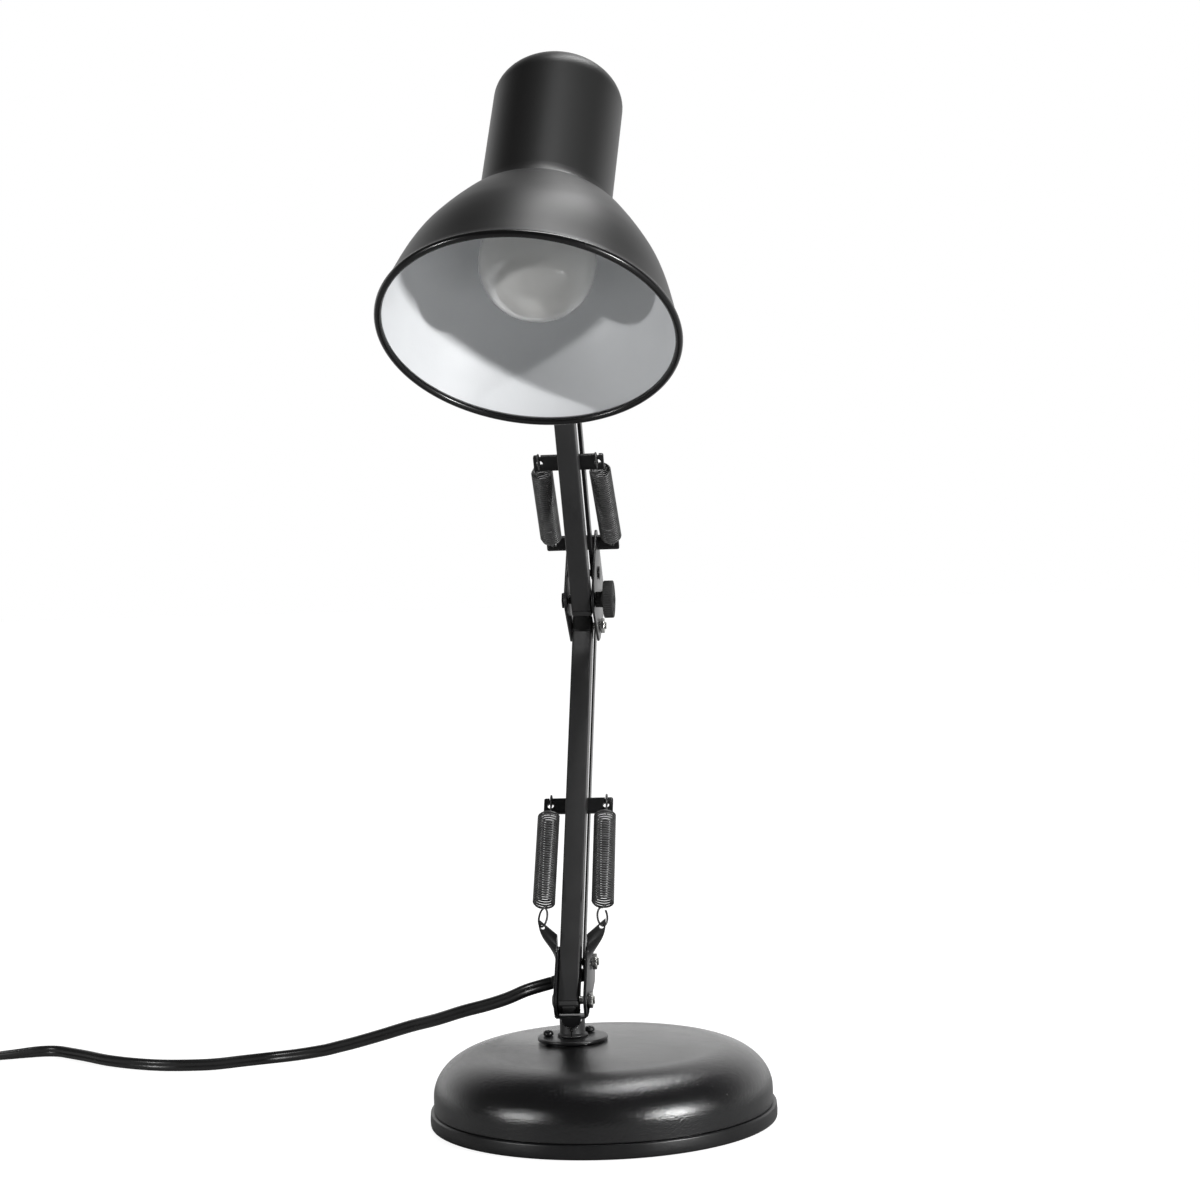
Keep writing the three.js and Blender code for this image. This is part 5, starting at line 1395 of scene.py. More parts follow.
@dataclass(frozen=True)
class PivotBolt:
    """A pivot bolt across two plates with its nut, in millimetres."""

    name: str
    body: str
    pivot: Point2
    outside: float
    riveted: bool = False
    radius: float = 2.0
    head_r: float = 3.7
    head_h: float = 2.2
    nut_across: float = 7.0
    nut_h: float = 2.4
    stub: float = 1.0
    low_head: float = 1.1
    hidden_nut: bool = False
    threads: int = 4
    thread_deep: float = 0.22
    nut_turn: float = 0.35

    def build(self) -> None:
        """Makes the bolt, and its nut as a piece of its own unless it is riveted."""
        head_end = -self.outside - LAMP.gap
        nut_end = self.outside + LAMP.gap
        low = self.low_head
        tip = nut_end + (low if self.hidden_nut else self.nut_h + self.stub)
        place = LAMP.arm_plane() @ sideways(0, self.pivot)
        bolt = Piece(f"{self.name}_pin", ZINC, PLATE_PAINT)
        head = [(0.0, head_end - low), (self.head_r * 0.6, head_end - low * 0.95)]
        head += [(self.head_r, head_end - low * 0.4), (self.head_r, head_end), (0.0, head_end)]
        bolt.add(lathe(soften(head, 0.3, 3), 36), place, finish=1)
        shank = [(0.0, head_end), (self.radius, head_end)]
        shank.append((self.radius, nut_end + self.nut_h * 0.4))
        if not self.hidden_nut:
            for k in range(self.threads):
                at = nut_end + self.nut_h + self.stub * k / self.threads
                groove = (self.radius - self.thread_deep, at + self.stub / (2 * self.threads))
                shank += [(self.radius, at), groove]
        shank += [(self.radius - 0.3, tip - 0.2), (self.radius - 0.5, tip - 0.1), (0.0, tip - 0.1)]
        bolt.add(lathe(shank, 36), place, finish=1 if self.hidden_nut else 0)
        seat = place @ shift(0, 0, nut_end) @ Matrix.Rotation(self.nut_turn, 4, "Z")
        if self.riveted or self.hidden_nut:
            cap = [(0.0, 0.0), (self.head_r, 0.0), (self.head_r, low * 0.6)]
            cap += [(self.head_r * 0.6, low), (0.0, low)]
            holder = lathe(soften(cap, 0.3, 3), 36)
        else:
            holder = nut(self.nut_across, self.nut_h)
        if self.riveted:
            bolt.add(holder, seat, finish=1)
        else:
            ring = Piece(f"{self.name}_hex", PLATE_PAINT if self.hidden_nut else ZINC)
            ring.add(holder, seat)
            ring.fit(self.body, Slot.ZINC, f"{self.name}_nut")
        bolt.fit(self.body, Slot.ZINC, f"{self.name}_bolt")


# ---------------------------------------------------------------- foot


@dataclass
class Foot:
    """Swivelling foot: sleeve, folded yoke with twisted ears, and its two bolts."""

    sleeve_r: float = 6.35
    sleeve_bore: float = 5.35
    sleeve_low: float = 40.4
    sleeve_top: float = 49.3
    collar_r: float = 7.6
    bend_r: float = 5.0
    bend_z: float = 50.0
    hole_z: float = 43.9
    floor_z: float = 49.6
    leg_top: float = 56.0
    strip: float = 11.5
    sheet: float = 1.5
    ear_width: float = 9.8
    ear_y: float = 19.8
    ear_low: float = 73.0
    ear_high: float = 92.6
    ear_twist: float = 78.0
    ear_slope: float = 0.8
    ear_hole: Point2 = (14.9, 92.5)
    ear_hole_r: float = 1.15
    ear_steps: int = 28
    tab: tuple[float, float, float] = (42.0, 65.5, 6.0)

    def build(self) -> None:
        """Makes the foot's pieces."""
        self.build_sleeve()
        self.build_yoke()
        PivotBolt("foot_front", "foot", LAMP.foot, LAMP.yoke_outside).build()
        PivotBolt("foot_rear", "foot", LAMP.foot_link, LAMP.yoke_outside).build()

    def build_sleeve(self) -> None:
        """The sleeve with its scooped top and its seam hole."""
        low, top = self.sleeve_low, self.sleeve_top
        profile = [(self.sleeve_bore, low), (self.collar_r, low), (self.collar_r, low + 0.7)]
        profile += [(self.sleeve_r, low + 1.6), (self.sleeve_r, top), (self.sleeve_bore, top)]
        body = lathe(soften(profile, 0.3, 2, closed=True), 64, closed=True)
        mouth = bar(self.bend_r + LAMP.gap, 4 * self.sleeve_r, 64)
        hole = bar(0.9, 2 * self.sleeve_r, 24)
        move(mouth, shift(0, 2 * self.sleeve_r, self.bend_z) @ LAID_BACK)
        move(hole, shift(0, 0, self.hole_z) @ LAID_BACK)
        slit = block((0.5, 2 * self.sleeve_r, 6.0))
        move(slit, shift(0, -self.sleeve_r, self.hole_z - 3.0))
        made = Piece("foot_sleeve", TUBE_PAINT)
        place = LAMP.arm_plane() @ shift(0, LAMP.swivel_y, 0)
        made.add(carve(body, mouth, hole, slit), place)
        made.fit("foot", Slot.DARK_TUBE, "swivel_sleeve")

    def ear(self, sign: int) -> BMesh:
        """A strip that rises from a cheek and twists until its flat faces forward."""
        frames = []
        for i in range(self.ear_steps + 1):
            t = i / self.ear_steps
            turn = math.radians(self.ear_twist) * (3 * t * t - 2 * t**3)
            x = LAMP.plate_inside + self.sheet / 2 + self.ear_width / 2 * math.sin(turn)
            z = self.ear_low + (self.ear_high - self.ear_low) * t
            frames.append(Matrix((
                (math.sin(turn), math.cos(turn), 0, x),
                (math.cos(turn), -math.sin(turn), 0, self.ear_y),
                (self.ear_slope * t, 0, 1, z),
                (0, 0, 0, 1),
            )))
        part = sweep(rounded_box(self.ear_width, self.sheet, 0.5, 3), frames)
        place = shift(self.ear_hole[0], self.ear_y + 8.0, self.ear_hole[1])
        part = carve(part, move(bar(self.ear_hole_r, 16.0, 28), place @ LAID_BACK))
        if sign < 0:
            bmesh.ops.scale(part, vec=(-1, 1, 1), verts=part.verts)
            bmesh.ops.reverse_faces(part, faces=part.faces)
        return part

    def floor_outline(self) -> list[Point2]:
        """The folded floor's section: a rounded saddle between two legs."""
        outside, inside = LAMP.yoke_outside, LAMP.plate_inside
        inner_floor = self.floor_z + self.sheet / 2
        lip = math.asin((self.bend_z - self.floor_z) / self.bend_r)
        right = [(outside, self.leg_top), (inside, self.leg_top), (inside, inner_floor)]
        left = [(-inside, inner_floor), (-inside, self.leg_top), (-outside, self.leg_top)]
        under = [(-outside, self.floor_z + 0.9), (-outside + 0.9, self.floor_z)]
        bulge = [
            (self.bend_r * math.cos(a), self.bend_z + self.bend_r * math.sin(a))
            for a in (HALF + lip + (HALF - 2 * lip) * k / 20 for k in range(21))
        ]
        last = [(-x, z) for x, z in under[::-1]]
        return [*right, *left, *under, *bulge, *last]

    def build_yoke(self) -> None:
        """The yoke: two cheeks, the folded floor and the ears."""
        root = (self.ear_y, self.ear_low + self.ear_width / 2, self.ear_width / 2)
        front = (*LAMP.foot, 8.4)
        rear = (*LAMP.foot_link, 6.8)
        made = Piece("yoke", PLATE_PAINT)
        plane = LAMP.arm_plane()
        cheeks = (
            ([front, rear, root], -LAMP.yoke_outside),
            ([front, self.tab, rear, root], LAMP.plate_inside),
        )
        for discs, from_x in cheeks:
            made.add(slab(wrap_discs(discs), self.sheet, 0.3), plane @ sideways(from_x))
        stand = shift(0, LAMP.swivel_y + self.strip / 2, 0) @ STANDING
        made.add(slab(self.floor_outline()[::-1], self.strip, 0.25), plane @ stand)
        made.add(self.ear(1), plane)
        made.add(self.ear(-1), plane)
        made.fit("foot", Slot.SATIN_BLACK, "foot_yoke")


# ---------------------------------------------------------------- arms


@dataclass(frozen=True)
class ArmSize:
    """Where one arm stands and how long it is, in millimetres and degrees."""

    name: str
    pivot: Point2
    lean: float
    reach: float
    tail: float
    top: float
    bar_along: float
    bar_long: float
    link_pivot: Point2
    link_body: str
    aside: float
    bar_aside: float
    bar_drop: float
    hole_x: float
    link_inside: float
    link_sheet: float
    round_end: bool = False
    # Length of the black plastic block on the tube's top; its black also paints the shade that
    # falls there between the elbow plates.
    top_block_painted_shade: float = 0.0


@dataclass
class Arm:
    """A square tube with its end cap and crossbar, and the flat link behind it."""

    size: ArmSize
    side: float = 10.5
    corner: float = 1.1
    bar_depth: float = 8.8
    bar_sheet: float = 2.0
    link_depth: float = 7.0
    round_short: float = 2.2

    def build(self) -> None:
        """Makes the arm's pieces."""
        name, body = self.size.name, f"{self.size.name}_arm"
        place = shift(self.size.aside, 0, 0) @ LAMP.arm(self.size.pivot, self.size.lean)
        tail = self.size.tail - (self.round_short if self.size.round_end else 0.0)
        long = tail + self.size.reach + self.size.top - self.size.top_block_painted_shade
        tube = Piece(f"{name}_square_tube", TUBE_PAINT)
        tube.add(self.tube(long), place @ shift(0, 0, -tail))
        tube.fit(body, Slot.DARK_TUBE, f"{name}_tube")
        cap = Piece(f"{name}_end_plug", PLASTIC)
        shape = self.round_cap() if self.size.round_end else self.cap()
        cap.add(shape, place @ shift(0, 0, -tail - LAMP.gap))
        cap.fit(body, Slot.BLACK_PLASTIC, f"{name}_tube_cap")
        # A black plastic block on the tube's top; its black also paints the shade that falls on the
        # tube's top between the elbow plates.
        if self.size.top_block_painted_shade:
            top = Piece(f"{name}_top_block_painted_shade", PLASTIC)
            wide = self.side + 0.2
            high = self.size.top_block_painted_shade - LAMP.gap
            shape = slab(rounded_box(wide, wide, 1.3), high, 0.9, 3)
            top.add(shape, place @ shift(0, 0, long - tail + LAMP.gap))
            top.fit(body, Slot.BLACK_PLASTIC)
        strip = Piece(f"{name}_spring_bar", PLATE_PAINT)
        across = LAMP.arm(self.size.pivot, self.size.lean) @ shift(
            self.size.bar_aside, LAMP.bar_back, self.size.bar_along - self.size.bar_drop
        )
        long = self.size.bar_long
        strip.add(notched_bar(long, self.bar_depth, self.bar_sheet, self.size.hole_x), across)
        strip.fit(body, Slot.SATIN_BLACK, f"{name}_crossbar")
        self.build_link()

    def tube(self, long: float) -> BMesh:
        """The square tube, open at both ends."""
        outline = rounded_box(self.side, self.side, self.corner, 4)
        inside = rounded_box(self.side - 2, self.side - 2, self.corner / 2, 2)
        bores = [move(slab(inside, 12.0, 0.0), shift(0, 0, z)) for z in (-1.0, long - 11.0)]
        return carve(slab(outline, long, 0.25), *bores)

    def cap(self) -> BMesh:
        """The plastic plug in the lower end, its nose downwards."""
        wide, slim = self.side + 0.3, self.side - 3.0
        lip = slab(rounded_box(wide, wide, 1.4), 2.2, 0.3)
        nose = slab(rounded_box(slim, slim, 1.6), 2.6, 1.0, 4)
        whole = Piece("cap_parts").add(lip, shift(0, 0, -2.2))
        return whole.add(nose, shift(0, 0, -2.9)).whole

    def round_cap(self) -> BMesh:
        """The plastic end of the upper tube, rounded off downwards in side view."""
        radius = self.side / 2
        turns = [-HALF * k / 16 for k in range(16, -1, -1)]
        arc = [(radius * math.cos(a), radius * math.sin(a)) for a in turns]
        return move(slab(arc, self.side, edge=1.5, segments=4), sideways(-radius))

    def build_link(self) -> None:
        """The flat link behind the tube."""
        name = self.size.name
        radius = self.link_depth / 2
        outline = wrap_discs([(0.0, 0.0, radius), (self.size.reach, 0.0, radius)])
        strip = slab(outline, self.size.link_sheet, 0.2)
        turn = Matrix(((0, 0, 1, 0), (0, -1, 0, 0), (1, 0, 0, 0), (0, 0, 0, 1)))
        place = LAMP.arm(self.size.link_pivot, self.size.lean)
        made = Piece(f"{name}_rear_strip", PLATE_PAINT)
        made.add(strip, place @ shift(self.size.link_inside, 0, 0) @ turn)
        made.fit(self.size.link_body, Slot.SATIN_BLACK, f"{name}_link")


def notched_bar(length: float, depth: float, sheet: float, hole_x: float) -> BMesh:
    """A spring bar across an arm, with a hook hole and a notch near each end.

    Args:
        length: Its whole length, along x.
        depth: Its height, along z.
        sheet: Its thickness, along y.
        hole_x: How far from its middle each hole is.

    Returns:
        The bar, centred.
    """
    strip = slab(rounded_box(length, depth, 1.0, 3), sheet, 0.25)
    move(strip, shift(0, sheet / 2, 0) @ STANDING)
    cutters = []
    for x in (-hole_x, hole_x):
        cutters.append(move(bar(1.7, 4 * sheet, 28), shift(x, 2 * sheet, 0) @ LAID_BACK))
        cutters.append(move(block((1.6, 4 * sheet, 2.4), 0.35), shift(x, 0, depth / 2)))
    return carve(strip, *cutters)


# ---------------------------------------------------------------- springs


@dataclass(frozen=True)
class Hook:
    """How a spring's end grips its hole: a long ring of wire, in millimetres and degrees."""

    place: Point3
    across: float
    along: float
    up: float
    turn: float
    aside: float
    gap_to_coil: float
    round_by: float = 325.0
    steps: int = 24


@dataclass(frozen=True)
class Spring:
    """A close-wound extension spring between two hook places, in millimetres."""

    name: str
    node: str
    bodies: tuple[str, str]
    low: Hook
    high: Hook
    front: Point3
    coils: int
    radius: float = 5.3
    wire: float = 1.05
    steps: int = 20

    def line(self) -> list[Vector]:
        """The wire's middle line from one hook to the other."""
        front = Vector(self.front)
        start = Vector(self.low.place) + front * self.low.aside
        end = Vector(self.high.place) + front * self.high.aside
        axis = (end - start).normalized()
        across = Vector((1, 0, 0))
        normal = axis.cross(across).normalized()
        first = start + axis * self.low.gap_to_coil
        last = end - axis * self.high.gap_to_coil
        count = self.coils * self.steps
        body: list[Vector] = []
        for k in range(count + 1):
            angle = FULL * k / self.steps
            swell = min(1.0, min(k, count - k) / (self.steps * 0.9))
            reach = self.radius * (0.15 + 0.85 * swell * (2 - swell))
            out = across * (reach * math.cos(angle)) + normal * (reach * math.sin(angle))
            body.append(first.lerp(last, k / count) + out)
        low = self.ring(self.low, axis, across, normal, body[0])
        high = self.ring(self.high, -axis, across, normal, body[-1])
        return [*low[::-1], *body, *high]

    @staticmethod
    def ring(
        hook: Hook, axis: Vector, across: Vector, normal: Vector, coil: Vector
    ) -> list[Vector]:
        """A hook's wire, from the coil's end round its ring.

        Args:
            hook: The hook's sizes.
            axis: The way from the hole to the coil.
            across: The lamp's own x.
            normal: The way at right angles to both.
            coil: Where the coil ends.

        Returns:
            The wire's points, coil end first.
        """
        turn = math.radians(hook.turn)
        side = across * math.cos(turn) + normal * math.sin(turn)
        centre = Vector(hook.place) + axis * hook.up
        points = []
        for k in range(hook.steps + 1):
            angle = math.radians(90 + hook.round_by * k / hook.steps)
            out = axis * (hook.along * math.sin(angle)) + side * (hook.across * math.cos(angle))
            points.append(centre + out)
        return [coil.lerp(points[0], 0.35), coil.lerp(points[0], 0.7), *points]

    def build(self) -> None:
        """Makes the spring where it stands between its two hooks."""
        made = Piece(self.name, SPRING_BLACK)
        made.add(sweep(circle(self.wire / 2, 8), carry(self.line(), level=False)), LAMP.arm_plane())
        spring = made.end(60.0)
        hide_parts(self.node)
        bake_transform(spring)
        LOG.info("piece %s bends between %s and %s", self.name, *self.bodies)


def springs() -> list[Spring]:
    """The lamp's four springs."""
    lower = LAMP.bar_place(LAMP.foot, LAMP.lower_lean, LAMP.lower_bar_along)
    upper = LAMP.bar_place(LAMP.upper, -LAMP.upper_lean, LAMP.upper_bar_along)
    lean, fall = math.radians(LAMP.lower_lean), math.radians(LAMP.upper_lean)
    lower_front = (0.0, -math.cos(lean), math.sin(lean))
    upper_front = (0.0, -math.cos(fall), -math.sin(fall))
    ear_hook = {"across": 3.0, "along": 5.4, "up": 7.0, "aside": 0.0, "gap_to_coil": 14.3}
    bar_hook = {"across": 1.9, "along": 3.1, "turn": 90.0}
    low_bar = {**bar_hook, "up": -2.2, "aside": 6.4, "gap_to_coil": 10.1}
    elbow_bar = {**bar_hook, "up": -2.4, "aside": 6.4, "gap_to_coil": 6.6}
    top_bar = {"across": 2.1, "along": 5.3, "turn": 90.0, "up": -0.4, "aside": -6.4}
    top_bar["gap_to_coil"] = 9.9
    made = []
    for side, turn, ear_x, bar_x, elbow_x, top_x in (
        ("left", -38.0, -15.0, -15.3, -16.0, -15.7),
        ("right", 38.0, 15.2, 13.9, 16.6, 14.6),
    ):
        made += [
            Spring(
                f"lower_coil_{side}", f"lower_spring_{side}", ("foot", "lower_arm"),
                low=Hook((ear_x, *LAMP.ear_hook), turn=turn, **ear_hook),
                high=Hook((bar_x, *lower), **low_bar), front=lower_front, coils=38,
            ),
            Spring(
                f"upper_coil_{side}", f"upper_spring_{side}", ("elbow", "upper_arm"),
                low=Hook((elbow_x, *LAMP.elbow_bar_place), **elbow_bar),
                high=Hook((top_x, *upper), **top_bar), front=upper_front, coils=35,
            ),
        ]
    return made


# ---------------------------------------------------------------- elbow


@dataclass
class Elbow:
    """Two plates round four pivots, their crossbar, bolts and the friction knob."""

    low_r: float = 7.4
    rear_r: float = 6.6
    front_r: float = 7.6
    top_r: float = 5.6
    tip: tuple[float, float, float] = (-4.4, -6.4, 1.6)
    plate: float = 1.3
    bar_long: float = 39.4
    bar_depth: float = 8.5
    bar_sheet: float = 2.0
    bar_drop: float = 1.2
    hole_x: float = 15.8
    knob_r: float = 10.0
    knob_h: float = 5.3
    hub_r: float = 4.2
    hub_h: float = 4.5
    nub_r: float = 1.8
    nub_h: float = 0.8
    dish: tuple[float, float, float] = (0.72, 0.64, 0.6)
    teeth: int = 48
    tooth_deep: float = 0.28
    stud_r: float = 2.0
    nut_across: float = 8.0
    nut_h: float = 1.3

    def outline(self) -> list[Point2]:
        """The plates' outline in side view."""
        tip = (LAMP.elbow[0] + self.tip[0], LAMP.elbow[1] + self.tip[1], self.tip[2])
        corners = [
            tip, (*LAMP.elbow, self.low_r), (*LAMP.elbow_link, self.rear_r),
            (*LAMP.elbow_bar_place, self.top_r), (*LAMP.upper, self.front_r),
        ]
        return wrap_discs(corners)

    def build(self) -> None:
        """Makes the elbow's pieces."""
        plane = LAMP.arm_plane()
        bar_y, bar_z = LAMP.elbow_bar_place
        lean = shift(0, bar_y, bar_z - self.bar_drop) @ Matrix.Rotation(
            math.radians(LAMP.upper_lean), 4, "X"
        )
        for side, from_x in (("left", -LAMP.plate_outside), ("right", LAMP.plate_inside)):
            plate = slab(self.outline(), self.plate, 0.3)
            move(plate, sideways(from_x))
            slot = block((60.0, self.bar_sheet + 0.6, self.bar_depth + 0.6), 0.2)
            move(slot, lean)
            made = Piece(f"elbow_cheek_{side}", PLATE_PAINT)
            made.add(carve(plate, slot), plane)
            made.fit("elbow", Slot.SATIN_BLACK, f"elbow_plate_{side}")
        strip = Piece("elbow_spring_bar", PLATE_PAINT)
        crossbar = notched_bar(self.bar_long, self.bar_depth, self.bar_sheet, self.hole_x)
        strip.add(crossbar, plane @ lean)
        strip.fit("elbow", Slot.SATIN_BLACK, "elbow_crossbar")
        for name, pivot in (
            ("elbow_lower", LAMP.elbow),
            ("elbow_rear", LAMP.elbow_link),
            ("elbow_upper", LAMP.upper_link),
        ):
            hidden = name == "elbow_upper"
            PivotBolt(name, "elbow", pivot, LAMP.plate_outside, hidden_nut=hidden).build()
        self.build_knob()

    def build_knob(self) -> None:
        """The knurled friction knob, its stud and the nut at the stud's end."""
        rim = circle(self.knob_r, self.teeth * 4, self.tooth_deep, self.teeth)
        seat = LAMP.plate_outside + LAMP.gap
        place = LAMP.arm_plane() @ sideways(seat, LAMP.upper)
        made = Piece("friction_knob", PLASTIC)
        made.add(slab(rim, self.knob_h, 0.6, 3), place @ shift(0, 0, self.hub_h))
        hub = [(0.0, 0.0), (self.hub_r, 0.0), (self.hub_r, self.hub_h - 1.0)]
        hub += [(self.hub_r + 1.2, self.hub_h + 0.4), (0.0, self.hub_h + 0.4)]
        made.add(lathe(soften(hub, 0.5, 3), 48), place)
        top = self.hub_h + self.knob_h
        wide, edge, slope = (self.knob_r * share for share in self.dish)
        dish = [(0.0, top - 0.3), (wide, top - 0.3), (wide, top + 0.25), (edge, top + 0.25)]
        dish += [(slope, top - 0.1), (self.nub_r + 0.3, top - 0.1)]
        dish += [(self.nub_r, top + self.nub_h), (0.0, top + self.nub_h)]
        made.add(lathe(soften(dish, 0.3, 3), 64), place)
        back = -seat - LAMP.plate_outside - LAMP.gap - 1.2
        stud = [(0.0, back), (self.stud_r - 0.3, back), (self.stud_r, back + 0.4)]
        stud += [(self.stud_r, 1.0), (0.0, 1.0)]
        made.add(lathe(stud, 32), place)
        made.fit("knob", Slot.BLACK_PLASTIC, "elbow_knob")
        ring = Piece("friction_nut", PLATE_PAINT)
        nut_x = -LAMP.plate_outside - LAMP.gap - self.nut_h
        ring.add(nut(self.nut_across, self.nut_h), LAMP.arm_plane() @ sideways(nut_x, LAMP.upper))
        ring.fit("elbow", Slot.ZINC, "elbow_knob_nut")


# ---------------------------------------------------------------- head


@dataclass
class Head:
    """Bracket at the upper arm's end, with the swivel barrel and the tilt knob."""

    low_r: float = 7.2
    rear_r: float = 6.6
    plate: float = 1.3
    web_ahead: float = 17.46
    web_behind: float = 8.54
    barrel_r: float = 6.5
    barrel_h: float = 13.0
    stud_r: float = 3.0
    stud_head_r: float = 5.0
    stud_head_h: float = 1.8
    nut_across: float = 10.0
    nut_h: float = 3.0
    play: float = 0.35
    pin_r: float = 3.0
    boss_r: float = 5.0
    strap_sheet: float = 2.0
    knob_r: float = 8.0
    knob_h: float = 7.0
    knob_lobes: int = 6
    knob_depth: float = 1.6

    def build(self) -> None:
        """Makes the head's pieces."""
        self.build_bracket()
        PivotBolt("head_front", "head", LAMP.head, LAMP.plate_outside, riveted=True).build()
        PivotBolt("head_rear", "head", LAMP.head_link, LAMP.plate_outside, riveted=True).build()
        self.build_stud()
        self.build_barrel()
        self.build_knob()

    def build_bracket(self) -> None:
        """The bracket: two plates joined by a web under the barrel."""
        front, back = LAMP.head[0] - self.web_ahead, LAMP.head[0] + self.web_behind
        top = LAMP.web_low + self.plate
        nose = (front + 2 * self.plate, top - 2 * self.plate, 2 * self.plate)
        outline = wrap_discs([(*LAMP.head, self.low_r), (*LAMP.head_link, self.rear_r), nose])
        made = Piece("head_fork", PLATE_PAINT)
        plane = LAMP.arm_plane()
        for from_x in (-LAMP.plate_outside, LAMP.plate_inside):
            plate = slab(outline, self.plate, 0.3)
            move(plate, sideways(from_x))
            above = block((60.0, 2 * (back - front), 8.0))
            move(above, shift(0, front, top + 4.0))
            made.add(carve(plate, above), plane)
        web = block((2 * LAMP.plate_outside, back - front - 2 * self.plate, self.plate), 0.3)
        made.add(web, plane @ shift(0, (front + back) / 2, LAMP.web_low + self.plate / 2))
        made.fit("head", Slot.SATIN_BLACK, "head_bracket")

    def build_stud(self) -> None:
        """The upright stud that the barrel turns on, with its lock nut."""
        low = LAMP.web_low - LAMP.gap - self.stud_head_h
        barrel_low = LAMP.web_low + self.plate + LAMP.gap
        nut_low = barrel_low + self.barrel_h + LAMP.gap
        top = nut_low + 4.0
        head_r = self.stud_head_r
        profile = [(0.0, low), (head_r, low), (head_r, low + self.stud_head_h)]
        profile += [(self.stud_r, low + self.stud_head_h), (self.stud_r, top - 0.5)]
        profile += [(self.stud_r - 0.5, top), (0.0, top)]
        place = LAMP.arm_plane() @ shift(0, LAMP.head[0] - LAMP.swivel_ahead, 0)
        made = Piece("swivel_stud", ZINC)
        made.add(lathe(soften(profile, 0.3, 2), 40), place)
        made.add(nut(self.nut_across, self.nut_h), place @ shift(0, 0, nut_low))
        made.fit("head", Slot.ZINC, "head_stud")

    def build_barrel(self) -> None:
        """The barrel on the stud, with the arm and pin that carry the shade's strap."""
        low = LAMP.web_low + self.plate + LAMP.gap
        high = low + self.barrel_h
        strap_x = LAMP.rim_offset().x
        made = Piece("head_barrel", PLATE_PAINT)
        ring = soften(tube_section(self.stud_r + self.play, self.barrel_r, low, high), 0.7, 3, True)
        made.add(lathe(ring, 56, closed=True), LAMP.head_turn())
        reach = strap_x - self.strap_sheet / 2 - LAMP.gap
        root = self.barrel_r - 2.4
        arm = [(0.0, root), (self.boss_r, root), (self.boss_r, reach), (self.pin_r, reach)]
        pin_end = strap_x + self.strap_sheet / 2 + LAMP.gap + self.knob_h / 2
        arm += [(self.pin_r, pin_end - 0.4), (self.pin_r - 0.4, pin_end), (0.0, pin_end)]
        made.add(lathe(soften(arm, 0.3, 2), 40), LAMP.head_turn() @ sideways(0, (0, LAMP.tilt_z)))
        made.fit("head_swivel", Slot.SATIN_BLACK, "swivel_barrel")

    def build_knob(self) -> None:
        """The lobed tilt knob on the pin's end."""
        seat = LAMP.rim_offset().x + self.strap_sheet / 2 + LAMP.gap
        rim = circle(self.knob_r, self.knob_lobes * 16, self.knob_depth, self.knob_lobes)
        body = slab(rim, self.knob_h, 1.1, 4)
        bore = bar(self.pin_r + self.play, self.knob_h / 2 + LAMP.gap + 4.0)
        move(bore, shift(0, 0, -4.0))
        made = Piece("tilt_grip", PLASTIC)
        made.add(carve(body, bore), LAMP.head_turn() @ sideways(seat, (0, LAMP.tilt_z)))
        made.fit("tilt_screw", Slot.BLACK_PLASTIC, "tilt_knob")


# ---------------------------------------------------------------- shade


